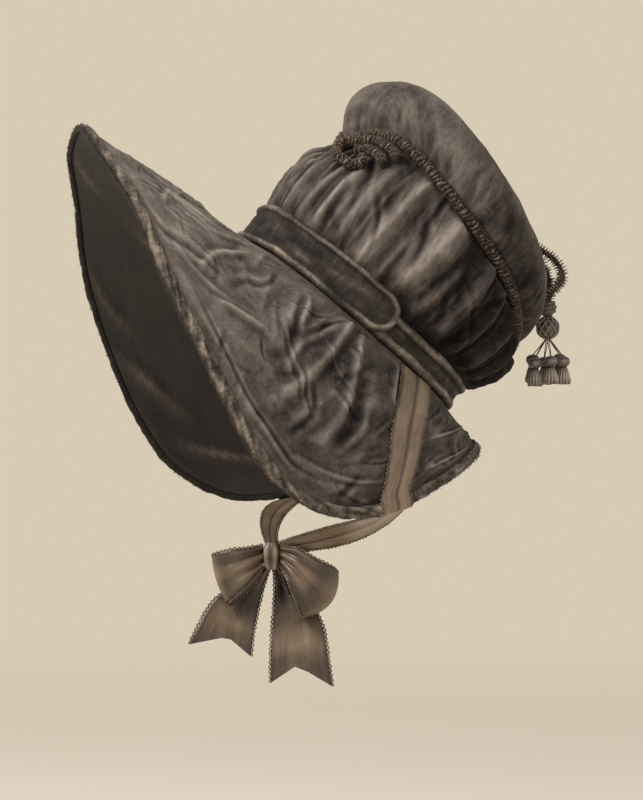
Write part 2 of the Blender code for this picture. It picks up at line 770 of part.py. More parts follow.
def tie_edge(side, across, bend, knot):
    """One line along a tie: across is 0 at its front edge and 1 at its back edge, knot is where it ends."""
    rest = VELVET + TIE_REST + SATIN / 2
    line = []
    for depth in (0.02, 0.09, 0.18, 0.28, 0.39, 0.51, 0.63, 0.75, 0.86):
        front, back = read(TIE, "front", depth, "depth"), read(TIE, "back", depth, "depth")
        around = (front + (back - front) * across) * side
        line.append(on_brim(around, depth, rest))
    rim, inward, normal = rim_frame(around)
    over_rim = rest + GAP + BINDING_WALL
    line.append(rim + inward * (BINDING_LEG + 0.002) + normal * over_rim)
    line.append(rim - inward * (GAP + BINDING_WALL + SATIN / 2) + normal * over_rim)
    past = rim - inward * (GAP + BINDING_WALL + TIE_REST + SATIN)
    line.append(past + normal * BINDING_WALL)
    leave = past - normal * (LINING + 2 * GAP + BINDING_WALL)
    line.append(leave)
    for share in (0.15, 0.32, 0.5, 0.68, 0.85, 1):
        line.append(leave.lerp(bend, share).lerp(bend.lerp(knot, share), share))
    return line


def make_tie(name, side, bends, knot_front, knot_back):
    """A tie from under the band, over the brim and its bound rim, and on to the bow's knot."""
    front, back = bow_point(*knot_front), bow_point(*knot_back)
    lines = []
    for across in (0, 0.5, 1):
        lines.append(tie_edge(side, across, bends[0].lerp(bends[1], across), front.lerp(back, across)))
    ribbon(name, list(zip(*lines)), "ribbon")


def make_bow():
    half_width, half_depth = KNOT_WIDTH / 2 / BOW_REACH, KNOT_DEPTH / 2 / BOW_REACH
    half_height = KNOT_HEIGHT / 2 / BOW_REACH
    sections = []
    for high, wide in ((-1, 0.55), (-0.75, 0.9), (-0.25, 1), (0.25, 1), (0.75, 0.9), (1, 0.55)):
        turns = [2 * math.pi * k / 10 for k in range(10)]
        ring = [(half_width * wide * math.cos(t), half_depth * wide * math.sin(t)) for t in turns]
        sections.append([bow_point(right, high * half_height, toward) for right, toward in ring])
    loft("bow_knot", sections, "ribbon")
    for name, rows in (("bow_loop_left", LOOP_LEFT), ("bow_loop_right", LOOP_RIGHT)):
        ribbon(name, bow_rows(rows), "ribbon")
    for name, rows in (("bow_tail_left", TAIL_LEFT), ("bow_tail_right", TAIL_RIGHT)):
        ribbon(name, bow_rows(rows), "ribbon")


def main():
    for old in list(bpy.data.objects):
        bpy.data.objects.remove(old)
    make_brim()
    make_lining()
    make_binding()
    make_crown_side()
    make_crown_top()
    make_bands()
    make_chenille()
    make_drop()
    make_tie("tie_near", 1, NEAR_BENDS, (0.115, 0.19, -0.10), (0.115, 0.09, -0.10))
    make_tie("tie_far", -1, FAR_BENDS, (-0.10, 0.246, -0.02), (0.07, 0.246, -0.02))
    make_bow()


main()
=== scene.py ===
import math
import random

import bmesh
import bpy
import numpy as np
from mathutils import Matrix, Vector, noise


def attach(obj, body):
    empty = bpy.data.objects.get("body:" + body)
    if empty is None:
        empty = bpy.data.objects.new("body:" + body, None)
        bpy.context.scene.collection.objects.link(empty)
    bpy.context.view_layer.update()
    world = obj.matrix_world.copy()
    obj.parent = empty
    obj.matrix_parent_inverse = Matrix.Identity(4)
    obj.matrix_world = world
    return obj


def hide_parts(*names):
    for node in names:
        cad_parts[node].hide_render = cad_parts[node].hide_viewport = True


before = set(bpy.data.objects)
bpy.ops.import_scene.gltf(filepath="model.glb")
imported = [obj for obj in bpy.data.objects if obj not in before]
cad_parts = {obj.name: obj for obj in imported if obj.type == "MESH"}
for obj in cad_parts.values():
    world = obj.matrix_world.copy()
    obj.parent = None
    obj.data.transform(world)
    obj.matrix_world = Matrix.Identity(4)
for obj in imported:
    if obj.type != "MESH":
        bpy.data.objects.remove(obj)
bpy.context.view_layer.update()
random.seed(11)
print("frame loaded")

# Metres, +Z up, the face looks along -Y and +X is the wearer's left. Angles go round the head seam:
# 0 is the forehead, 90 the wearer's left and 180 the nape.
headSeam = {"length": 0.195, "width": 0.176, "dip": 0.006, "lean": math.radians(50)}
cloth = {"velvet": 0.0020, "lining": 0.0010, "satin": 0.0008, "gap": 0.0005}
skew = (0.31, 0.17, 0.93)  # a direction that no cord runs in
upCrown = np.array((0, math.cos(headSeam["lean"]), math.sin(headSeam["lean"])))
toNape = np.array((0, math.sin(headSeam["lean"]), -math.cos(headSeam["lean"])))
sideways = np.array((1.0, 0, 0))


def table(names, rows):
    return {name: np.array([row[i] for row in rows], float) for i, name in enumerate(names.split())}


# The middle stretch of a smooth curve through four values, at t from 0 to 1.
def between(before, a, b, after, t):
    bend = 2 * before - 5 * a + 4 * b - after + t * (3 * (a - b) + after - before)
    return a + 0.5 * t * (b - before + t * bend)


# A smooth curve through one column of a table, at an array of keys.
def column(rows, name, at, key, sign=1):
    keys, values = rows[key], rows[name]
    last = len(keys) - 1
    i = np.clip(np.searchsorted(keys, at, side="right") - 1, 0, last - 1)
    padded = np.concatenate([[sign * values[1]], values, [sign * values[last - 1]]])
    before, a, b, after = padded[i], padded[i + 1], padded[i + 2], padded[i + 3]
    t = (at - keys[i]) / (keys[i + 1] - keys[i])
    return between(before, a, b, after, t)


def unit(vectors):
    return vectors / np.maximum(np.linalg.norm(vectors, axis=-1, keepdims=True), 1e-12)


# A soft step from 0 at start to 1 at end, which may be the lower one.
def ramp(value, start, end):
    t = np.clip((value - start) / (end - start), 0, 1)
    return t * t * (3 - 2 * t)


def roundAngles(count):
    return np.arange(count) * 360 / count


def lengthsAlong(line):
    return np.append(0, np.cumsum(np.linalg.norm(np.diff(line, axis=0), axis=1)))


# Points round the vertical, from a radius, a turn and a height.
def roundPoints(radius, turns, high):
    radius, turns, high = np.broadcast_arrays(radius, turns, high)
    return np.stack([radius * np.cos(turns), radius * np.sin(turns), high], -1)


def folded(around):
    return np.abs((around + 180) % 360 - 180)


def outward(around):
    turn = np.radians(around)[..., None]
    return sideways * np.sin(turn) - toNape * np.cos(turn)


def onward(around):
    turn = np.radians(around)[..., None]
    return sideways * np.cos(turn) + toNape * np.sin(turn)


def ringPoint(around, share=1.0):
    turn, share = np.radians(around)[..., None], np.asarray(share, float)[..., None]
    across = sideways * headSeam["width"] / 2 * np.sin(turn)
    return (across - toNape * headSeam["length"] / 2 * np.cos(turn)) * share


def dip(around):
    return -headSeam["dip"] * np.sin(np.radians(around)) ** 2


def facing(surface, around, share):
    across = surface(around + 0.5, share) - surface(around - 0.5, share)
    along = surface(around, share + 0.004) - surface(around, share - 0.004)
    return unit(np.cross(across, along))


# Fractal noise at an array of points, in -1 to 1. Scale is in metres.
def grain(points, scale, seed=0.0, octaves=4):
    flat = points.reshape(-1, 3) / scale
    values = [noise.fractal(Vector((x + seed, y, z)), 0.9, 2.0, octaves) for x, y, z in flat]
    return np.array(values).reshape(points.shape[:-1])


# Pattern coordinates as points, for noise that follows the cloth.
def strip(u, v, zero=0.0):
    return np.stack([u, v, np.full_like(u, zero)], -1)


# An sRGB hex colour as the linear colour that a socket takes.
def hexColour(code):
    parts = [int(code[i : i + 2], 16) / 255 for i in (1, 3, 5)]
    return tuple(p / 12.92 if p <= 0.04045 else ((p + 0.055) / 1.055) ** 2.4 for p in parts) + (1,)


# A node of a shader tree with its settings, and what each of its inputs takes.
def addNode(tree, kind, links=None, **settings):
    made = tree.nodes.new("ShaderNode" + kind)
    for name, value in settings.items():
        setattr(made, name, value)
    for name, value in (links or {}).items():
        if isinstance(value, bpy.types.NodeSocket):
            tree.links.new(value, made.inputs[name])
        else:
            made.inputs[name].default_value = value
    return made


def setRamp(node, stops):
    elements = node.color_ramp.elements
    while len(elements) < len(stops):
        elements.new(0.5)
    for element, (place, code) in zip(elements, stops):
        element.position = place
        element.color = hexColour(code)


# Cloth: a ramp of colours over wear with painted highlights and painted shade, mottling and streaks, darker
# along thin creases as painted shade, with a bump of fine wrinkles and nap.
def makeCloth(name, look):
    material = bpy.data.materials.new(name)
    material.use_nodes = True
    tree = material.node_tree
    shader = tree.nodes["Principled BSDF"]
    uv = addNode(tree, "UVMap", uv_map="cloth").outputs["UV"]
    amount = addNode(tree, "Attribute", attribute_name="wearAndShading").outputs["Fac"]
    turned = {"Vector": uv, "Rotation": (0, 0, look["slant"])}
    stretched = addNode(tree, "Mapping", {**turned, "Scale": look["streak"]}).outputs["Vector"]
    brushed = addNode(tree, "Mapping", {**turned, "Scale": look["nap"]}).outputs["Vector"]
    mottle = addNode(tree, "TexNoise", {
        "Vector": uv, "Scale": 1 / look["mottle"], "Detail": 5.0, "Roughness": 0.62,
    }).outputs["Fac"]
    streaks = addNode(tree, "TexNoise", {
        "Vector": stretched, "Scale": 1.0, "Detail": 4.0, "Distortion": 0.6,
    }).outputs["Fac"]
    nap = addNode(tree, "TexNoise", {
        "Vector": brushed, "Scale": 1.0, "Detail": 3.0, "Roughness": 0.6,
    }).outputs["Fac"]
    drawn = addNode(tree, "TexNoise", {
        "Vector": stretched, "Scale": look["lineScale"], "Detail": 2.0, "Distortion": 1.2,
    }).outputs["Fac"]
    # a thin crease runs where the slow noise passes its middle: painted shade darkens its colour, and the bump
    # sinks it
    offLine = addNode(tree, "Math", {0: drawn, 1: 0.5}, operation="SUBTRACT").outputs[0]
    away = addNode(tree, "Math", {0: offLine}, operation="ABSOLUTE").outputs[0]
    line = addNode(tree, "MapRange", {
        "Value": away, "From Min": 0.0, "From Max": 0.03, "To Min": 1.0, "To Max": 0.0,
    }, interpolation_type="SMOOTHSTEP").outputs["Result"]
    for pattern, share in ((mottle, "mottleShare"), (streaks, "streakShare"), (nap, "napShare")):
        centred = {0: pattern, 1: look[share], 2: -0.5 * look[share]}
        shift = addNode(tree, "Math", centred, operation="MULTIPLY_ADD").outputs[0]
        amount = addNode(tree, "Math", {0: amount, 1: shift}, operation="ADD").outputs[0]
    pressed = {0: line, 1: -look["lineShare"]}
    amount = addNode(tree, "Math", {**pressed, 2: amount}, operation="MULTIPLY_ADD").outputs[0]
    colours = addNode(tree, "ValToRGB", {"Fac": amount})
    setRamp(colours, look["colours"])
    sunk = addNode(tree, "Math", {**pressed, 2: mottle}, operation="MULTIPLY_ADD").outputs[0]
    heights = addNode(tree, "Math", {
        0: streaks, 1: look["streakBump"], 2: sunk,
    }, operation="MULTIPLY_ADD").outputs[0]
    coarse = addNode(tree, "Bump", {"Height": heights, "Distance": look["wrinkle"], "Strength": 0.9})
    fine = addNode(tree, "Bump", {
        "Height": nap, "Distance": look["pile"], "Strength": 0.6, "Normal": coarse.outputs["Normal"],
    })
    tree.links.new(colours.outputs["Color"], shader.inputs["Base Color"])
    tree.links.new(fine.outputs["Normal"], shader.inputs["Normal"])
    for socket, value in (
        ("Roughness", look["roughness"]), ("Specular IOR Level", look["gloss"]),
        ("Sheen Weight", look["sheen"]), ("Sheen Roughness", 0.45),
        ("Sheen Tint", hexColour(look["sheenColour"])),
    ):
        shader.inputs[socket].default_value = value
    return material


# Silk velvet, worn: dark in the folds as painted shade, greyish brown where the pile is rubbed and where crests
# take painted highlights, with thin creases painted dark as shade.
# Lengths are millimetres.
velvet = makeCloth("silk velvet, hand sewn and worn", {
    "mottle": 34, "slant": 0.5, "streak": (0.10, 0.028, 1), "nap": (0.75, 0.16, 1),
    "lineScale": 0.42, "lineShare": 0.07,
    "mottleShare": 0.72, "streakShare": 0.40, "napShare": 0.34, "streakBump": 0.6,
    "wrinkle": 0.0012, "pile": 0.0004, "roughness": 0.95, "gloss": 0.08,
    "sheen": 0.22, "sheenColour": "#b5aca0",
    "colours": [(0.0, "#120f0e"), (0.28, "#2a2523"), (0.52, "#4c4540"), (0.78, "#6f6760"), (1.0, "#91887f")],
})
# The same velvet where it is rolled or folded over an edge: the pile has gone and it is lighter and browner.
velvetEdge = makeCloth("silk velvet, rolled and rubbed edge", {
    "mottle": 11, "slant": 0.7, "streak": (0.30, 0.08, 1), "nap": (0.9, 0.35, 1),
    "lineScale": 0.6, "lineShare": 0.06,
    "mottleShare": 0.6, "streakShare": 0.5, "napShare": 0.3, "streakBump": 1.0,
    "wrinkle": 0.0010, "pile": 0.00025, "roughness": 0.82, "gloss": 0.25,
    "sheen": 0.16, "sheenColour": "#bcafa0",
    "colours": [(0.0, "#15110e"), (0.35, "#352e28"), (0.62, "#5f564c"), (0.85, "#877b6d"), (1.0, "#a59989")],
})
# Thin silk, almost black, with a soft gloss and long shallow streaks where it is drawn over the brim.
liningSilk = makeCloth("dark silk lining, drawn smooth", {
    "mottle": 70, "slant": 0.35, "streak": (0.030, 0.009, 1), "nap": (0.8, 0.3, 1),
    "lineScale": 0.5, "lineShare": 0.03,
    "mottleShare": 0.4, "streakShare": 0.5, "napShare": 0.05, "streakBump": 1.0,
    "wrinkle": 0.0030, "pile": 0.00005, "roughness": 0.5, "gloss": 0.4,
    "sheen": 0.06, "sheenColour": "#8e8076",
    "colours": [(0.0, "#0f0b09"), (0.40, "#1f1815"), (0.70, "#332a25"), (1.0, "#564a41")],
})
# Satin ribbon: tan brown with lengthwise lights, a fine rib across it and a soft gloss.
satin = makeCloth("woven silk satin ribbon", {
    "mottle": 26, "slant": 0.0, "streak": (0.03, 0.40, 1), "nap": (0.12, 2.2, 1),
    "lineScale": 0.5, "lineShare": 0.04,
    "mottleShare": 0.45, "streakShare": 0.24, "napShare": 0.16, "streakBump": 0.4,
    "wrinkle": 0.0004, "pile": 0.00006, "roughness": 0.38, "gloss": 0.5,
    "sheen": 0.1, "sheenColour": "#cdbda6",
    "colours": [(0.0, "#1f1812"), (0.30, "#43372c"), (0.55, "#6d5c4a"), (0.80, "#97836b"), (1.0, "#bba88e")],
})
# Chenille: a twisted core with short bristles of pile, darker inside as painted shade and lighter at the tips.
chenille = makeCloth("twisted silk chenille", {
    "mottle": 6, "slant": 0.0, "streak": (0.5, 0.5, 1), "nap": (1.4, 1.4, 1),
    "lineScale": 1.0, "lineShare": 0.0,
    "mottleShare": 0.4, "streakShare": 0.2, "napShare": 0.5, "streakBump": 0.5,
    "wrinkle": 0.0003, "pile": 0.0002, "roughness": 0.85, "gloss": 0.25,
    "sheen": 0.15, "sheenColour": "#b8a996",
    "colours": [(0.0, "#0b0806"), (0.35, "#261f19"), (0.65, "#52463b"), (0.9, "#857665"), (1.0, "#a89a88")],
})
# Wound and twisted silk thread: greyish tan, smooth, with a soft gloss.
silk = makeCloth("wound silk thread", {
    "mottle": 5, "slant": 0.0, "streak": (0.1, 2.2, 1), "nap": (2.0, 2.0, 1),
    "lineScale": 1.0, "lineShare": 0.0,
    "mottleShare": 0.3, "streakShare": 0.6, "napShare": 0.15, "streakBump": 1.2,
    "wrinkle": 0.00025, "pile": 0.00006, "roughness": 0.34, "gloss": 0.7,
    "sheen": 0.12, "sheenColour": "#e2d9ca",
    "colours": [(0.0, "#241e19"), (0.35, "#5b5146"), (0.65, "#8e8272"), (0.9, "#b8ad9b"), (1.0, "#d2c9b8")],
})
print("materials made")


def startMesh():
    return {"points": [], "faces": [], "uvs": [], "wearAndShading": []}


# Adds a lofted body: rings of points, whose first and last are joined or capped. Coordinates of the pattern
# are in millimetres: u from section to section, v round the ring, or else spread for each point.
def addGrid(store, sections, closed, uAlong, vAlong, wearAndShading=None, spread=None):
    count, around = sections.shape[:2]
    base = sum(len(points) for points in store["points"])
    index = np.arange(count * around).reshape(count, around) + base
    steps = count if closed else count - 1
    i, j = np.meshgrid(np.arange(steps), np.arange(around), indexing="ij")
    nextI, nextJ = (i + 1) % count, (j + 1) % around
    quads = np.stack([index[i, j], index[nextI, j], index[nextI, nextJ], index[i, nextJ]], -1).reshape(-1, 4)
    u = np.stack([uAlong[i], uAlong[i + 1], uAlong[i + 1], uAlong[i]], -1).reshape(-1)
    v = np.stack([vAlong[j], vAlong[j], vAlong[j + 1], vAlong[j + 1]], -1).reshape(-1)
    store["points"].append(sections.reshape(-1, 3))
    store["faces"] += quads.tolist()
    pattern = np.stack([u, v], -1) if spread is None else spread.reshape(-1, 2)[quads.reshape(-1) - base]
    store["uvs"].append(pattern)
    if not closed:
        for ring, place in ((index[0][::-1], 0), (index[-1], -1)):
            store["faces"].append(ring.tolist())
            rim = vAlong[:-1][::-1] if place == 0 else vAlong[:-1]
            store["uvs"].append(np.stack([np.full(around, uAlong[place]), rim], -1))
    values = np.full((count, around), 0.5) if wearAndShading is None else wearAndShading
    store["wearAndShading"].append(np.broadcast_to(values, (count, around)).reshape(-1))


def addPiece(name, store, material, stands):
    mesh = bpy.data.meshes.new(name)
    points = np.concatenate(store["points"])
    mesh.from_pydata(points.tolist(), [], store["faces"])
    layer = mesh.uv_layers.new(name="cloth")
    layer.data.foreach_set("uv", np.concatenate(store["uvs"]).astype(np.float32).reshape(-1))
    # the per-point value that picks each colour: real wear and tone, together with painted highlights and
    # painted shade
    wornAndShaded = mesh.attributes.new("wearAndShading", "FLOAT", "POINT")
    wornAndShaded.data.foreach_set("value", np.concatenate(store["wearAndShading"]).astype(np.float32))
    bm = bmesh.new()
    bm.from_mesh(mesh)
    bmesh.ops.recalc_face_normals(bm, faces=bm.faces)
    bm.to_mesh(mesh)
    bm.free()
    mesh.shade_smooth()
    mesh.materials.append(material)
    piece = bpy.data.objects.new(name, mesh)
    bpy.context.scene.collection.objects.link(piece)
    if stands:
        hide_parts(*stands)
    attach(piece, "root")
    return piece


# Rings of a cloth wall from the points of its two faces.
def wallSections(front, back):
    return np.concatenate([front, back[:, ::-1]], axis=1)


# Pattern coordinates round a wall's ring, from those of its rows.
def wallPattern(rows):
    both = np.concatenate([rows, rows[::-1]])
    return np.append(both, rows[0])


# Rings square to a line of points, carried on without a twist. The radius may vary along it.
def cordRings(line, radius, sides, closed=False):
    line = np.asarray(line, float)
    if closed:
        ways = unit(np.roll(line, -1, 0) - np.roll(line, 1, 0))
    else:
        ways = unit(np.gradient(line, axis=0))
    side = unit(np.cross(ways[0], skew))
    turns = np.radians(360 * np.arange(sides) / sides)
    radii = np.broadcast_to(np.asarray(radius, float), (len(line),))
    rings = []
    for point, way, reach in zip(line, ways, radii):
        side = unit(side - way * np.dot(side, way))
        up = np.cross(way, side)
        rings.append(point + (side * np.cos(turns)[:, None] + up * np.sin(turns)[:, None]) * reach)
    return np.array(rings)


def addTube(store, line, radius, sides, closed=False, wearAndShading=None):
    rings = cordRings(line, radius, sides, closed)
    along = lengthsAlong(line) * 1000
    along = np.append(along, 2 * along[-1] - along[-2]) if closed else along
    girth = 2 * math.pi * float(np.max(radius)) * 1000
    values = None if wearAndShading is None else np.full((len(rings), sides), wearAndShading)
    addGrid(store, rings, closed, along, np.linspace(0, girth, sides + 1), values)


# Points about one spacing apart on a smooth curve through a few chosen ones.
def smooth(points, spacing, closed=False):
    points = np.asarray(points, float)
    if closed:
        ends = np.concatenate([points[-1:], points, points[:2]])
    else:
        ends = np.concatenate([[2 * points[0] - points[1]], points, [2 * points[-1] - points[-2]]])
    line = []
    for before, start, end, after in zip(ends, ends[1:], ends[2:], ends[3:]):
        steps = max(1, round(np.linalg.norm(end - start) / spacing))
        line += [between(before, start, end, after, t) for t in np.arange(steps) / steps]
    return np.array(line if closed else line + [points[-1]])


cordTwist = {"sides": 12, "step": 0.0005, "girth": 20, "rough": 0.20}  # the girth is that of the pattern


# The twisted body of a chenille cord: uneven round turns of pile, painted dark between them as shade.
def addChenille(store, path, radius, pitch, deep, closed=False):
    sides, step = cordTwist["sides"], cordTwist["step"]
    line = smooth(path, step, closed)
    along = lengthsAlong(line)
    turns = round(along[-1] / pitch)
    share = (along / along[-1])[:, None]
    slant = math.pi * np.arange(sides)[None] / sides
    uneven = 0.5 * np.sin(2 * math.pi * round(turns / 5) * share + 2 * slant)
    uneven = uneven + 0.4 * np.sin(2 * math.pi * round(turns / 3.3) * share)
    swell = np.abs(np.sin(math.pi * turns * share + slant + uneven)) ** 0.8
    rough = np.random.default_rng(2).uniform(0, 1, (len(line), sides))
    size = 1.0 - deep * (1 - swell) + cordTwist["rough"] * (rough - 0.6)
    rings = line[:, None] + (cordRings(line, radius, sides, closed) - line[:, None]) * size[..., None]
    # painted shade in the grooves between the turns, over a random tone
    wearAndShading = 0.05 + 0.74 * (0.3 + 0.7 * swell) * (0.2 + 1.15 * rough)
    pattern = np.append(along, along[-1] + step) * 1000 if closed else along * 1000
    addGrid(store, rings, closed, pattern, np.linspace(0, cordTwist["girth"], sides + 1), wearAndShading)
    return line


# Adds closed three-sided spikes, each from three root points and a tip.
def addSpikes(store, spikes, wearAndShading, seed, spread):
    base = sum(len(points) for points in store["points"])
    faces = []
    for k in range(base, base + len(spikes), 4):
        faces += [[k, k + 1, k + 3], [k + 1, k + 2, k + 3], [k + 2, k, k + 3], [k, k + 2, k + 1]]
    store["points"].append(np.array(spikes))
    store["faces"] += faces
    store["uvs"].append(np.random.default_rng(seed).uniform(0, spread, (len(faces) * 3, 2)))
    store["wearAndShading"].append(np.array(wearAndShading))


# Short spikes of pile that stand all round a cord, painted darker at their roots as shade among the pile and
# lighter at their tips, evenly or in whorls. The light argument adds painted light to them all.
def addBristles(store, line, inner, outer, perMm, lean, half, whorl=0.0, light=0.0):
    ways = unit(np.gradient(line, axis=0))
    length = float(np.linalg.norm(np.diff(line, axis=0), axis=1).sum())
    whorls = round(length / whorl) if whorl else 0
    count = int(length * 1000 * perMm)
    spikes, wearAndShading = [], []
    for n in range(count):
        place = (n + random.random()) / count
        if whorls:
            place = (math.floor(place * whorls) + 0.5 + random.uniform(-0.16, 0.16)) / whorls
        place *= len(line) - 1
        i = min(int(place), len(line) - 2)
        middle = line[i] + (line[i + 1] - line[i]) * (place - i)
        way = ways[i]
        side = unit(np.cross(way, skew))
        turn = random.random() * 2 * math.pi
        out = side * math.cos(turn) + np.cross(way, side) * math.sin(turn)
        tilt = unit(out + way * random.uniform(-lean, lean))
        across = np.cross(out, way) * half
        root = middle + out * inner
        low = root - way * half * 0.5
        tip = middle + tilt * (outer * random.uniform(0.82, 1.08))
        spikes += [root + way * half, low + across, low - across, tip]
        # roots painted darker as shade among the pile, tips lighter; light adds painted light to both
        wearAndShading += [0.40 + light] * 3 + [random.uniform(0.7, 1.2) + light]
    addSpikes(store, spikes, wearAndShading, 5, 400)


# Curved creases scattered over a cloth, as lines in its pattern, in millimetres.
def randomCreases(seed, count, spanU, spanV, headings, lengths, widths, depths, ridges):
    pick = random.Random(seed)
    made = []
    for _ in range(count):
        place = np.array((pick.uniform(*spanU), pick.uniform(*spanV)))
        heading, bend = math.radians(pick.uniform(*headings)), math.radians(pick.uniform(-7, 7))
        step = pick.uniform(*lengths) / 7
        line = [place]
        for _ in range(7):
            line.append(line[-1] + step * np.array((math.cos(heading), math.sin(heading))))
            heading += bend
        width, depth = pick.uniform(*widths), pick.uniform(*depths)
        made.append((np.array(line), width, depth if pick.random() < ridges else -depth))
    return made


# Height in millimetres, and wear with painted shading, of creases at the points of a pattern that closes after
# around. A raised crease is lighter along its crest and darker beside it, a sunk one the other way round:
# painted highlight and painted shade on partly rubbed pile.
def creaseCloth(u, v, creases, around):
    height, wearAndShading = np.zeros_like(u), np.zeros_like(u)
    for line, width, depth in creases:
        for shift in (-around, 0, around):
            path = line + np.array((shift, 0))
            low, high = path.min(0) - 4 * width, path.max(0) + 4 * width
            inside = (u > low[0]) & (u < high[0]) & (v > low[1]) & (v < high[1])
            if not inside.any():
                continue
            here = np.stack([u[inside], v[inside]], -1)
            away, along = np.full(len(here), 1e9), np.zeros(len(here))
            for k, (a, b) in enumerate(zip(path, path[1:])):
                share = np.clip(((here - a) @ (b - a)) / ((b - a) @ (b - a)), 0, 1)
                off = np.linalg.norm(here - a - share[:, None] * (b - a), axis=1)
                along = np.where(off < away, (k + share) / (len(path) - 1), along)
                away = np.minimum(away, off)
            taper = np.sin(math.pi * np.clip(along, 0.02, 0.98)) ** 0.5
            core = np.exp(-((away / width) ** 2)) * taper
            sides = np.exp(-(((away - 2 * width) / (1.2 * width)) ** 2)) * taper
            height[inside] += depth * (core - 0.45 * sides)
            # painted highlight along a ridge and painted shade beside it, the other way round for a sunk crease
            wearAndShading[inside] += np.sign(depth) * (0.30 * core - 0.14 * sides) * min(abs(depth), 1.2)
    return height, wearAndShading


# The brim: how far the rim stands out, down and along from the seam, and how much the cloth bows, by angle.
rim = table("around out down along bow", [
    (0, 0.750, 0.073, 0.000, 0.000), (15, 0.696, 0.132, -0.074, 0.000), (30, 0.585, 0.218, -0.126, 0.015),
    (45, 0.471, 0.365, -0.128, 0.040), (60, 0.379, 0.490, -0.092, 0.055), (75, 0.298, 0.603, -0.051, 0.065),
    (90, 0.267, 0.664, -0.002, 0.070), (105, 0.277, 0.613, 0.045, 0.065), (120, 0.273, 0.449, 0.044, 0.060),
    (135, 0.249, 0.267, 0.017, 0.060), (150, 0.217, 0.137, -0.011, 0.060), (165, 0.197, 0.060, -0.023, 0.045),
    (180, 0.195, 0.014, 0.000, 0.030),
])
folds = table("around depth toAround toDepth width height", [
    (79, 0.04, 77, 0.76, 0.050, 1.00), (86, 0.08, 93, 0.70, 0.042, 0.85), (104, 0.05, 107, 0.30, 0.040, 0.75),
    (62, 0.16, 66, 0.56, 0.050, 0.55), (22, 0.90, 47, 0.62, 0.045, 0.45), (46, 0.90, 75, 0.89, 0.040, 0.50),
    (77, 0.89, 99, 0.88, 0.045, 0.50), (43, 0.71, 39, 0.33, 0.038, 0.48), (54, 0.73, 63, 0.57, 0.038, 0.65),
    (16, 0.66, 34, 0.36, 0.045, 0.45), (100, 0.34, 103, 0.70, 0.045, 0.55), (129, 0.49, 150, 0.44, 0.045, 0.75),
    (129, 0.76, 150, 0.76, 0.040, 0.80), (152, 0.42, 178, 0.45, 0.035, 0.50), (2, 0.30, 9, 0.85, 0.045, 0.55),
    (71, 0.17, 70, 0.40, 0.022, 0.55), (30, 0.30, 50, 0.48, 0.022, 0.40), (50, 0.30, 58, 0.50, 0.020, 0.45),
    (60, 0.78, 72, 0.66, 0.020, 0.45), (88, 0.45, 84, 0.78, 0.020, 0.50), (97, 0.20, 99, 0.60, 0.020, 0.45),
    (8, 0.45, 26, 0.75, 0.022, 0.45), (36, 0.15, 44, 0.32, 0.020, 0.45), (112, 0.55, 108, 0.82, 0.020, 0.40),
    (130, 0.30, 150, 0.26, 0.022, 0.45), (156, 0.66, 178, 0.68, 0.025, 0.50),
])
# Soft raised lights of the lining, which run slanting in from the rim: half width and height, angle and depth.
liningFolds = [
    (4.5, 1.6, (45, 0.97), (54.6, 0.899), (63, 0.80)),
    (5.5, 1.8, (63, 0.96), (72.2, 0.852), (84, 0.76)),
    (4.0, 1.2, (12, 0.98), (18.2, 0.92), (24, 0.82)),
    (5.0, 1.4, (86, 0.90), (97, 0.80), (108, 0.72)),
    (5.0, 1.2, (30, 0.70), (38, 0.55), (44, 0.38)),
]
# Its pattern is in millimetres: so many for a degree round the seam, and across it.
brimSize = {
    "depth": 0.205, "pucker": 0.0062, "crease": 0.0007, "columns": 560, "rows": 148, "backRows": 8,
    "perDegree": 1.9, "girth": 684.0, "across": 205, "liningRows": 44, "liningEnd": 0.985, "noClosing": 9999,
}
brimScatter = {
    "seed": 4, "count": 190, "spanU": (0, 684), "spanV": (10, 190), "headings": (35, 130), "lengths": (14, 58),
    "widths": (1.2, 2.1), "depths": (0.35, 1.0), "ridges": 0.28,
}
# base lightness, painted light towards the front, painted highlight and shade by fold height, the floor of
# painted crease shade, and soft creases
brimWearAndShading = {"base": 0.49, "front": 0.24, "fold": 0.26, "dark": -0.24, "soft": 0.10}
# Where it can't fold, in metres: how far the binding and half a tie press it, each with a soft start and end.
brimPressed = {"binding": (0.008, 0.017), "band": 0.0042, "tie": (0.015, 0.027)}
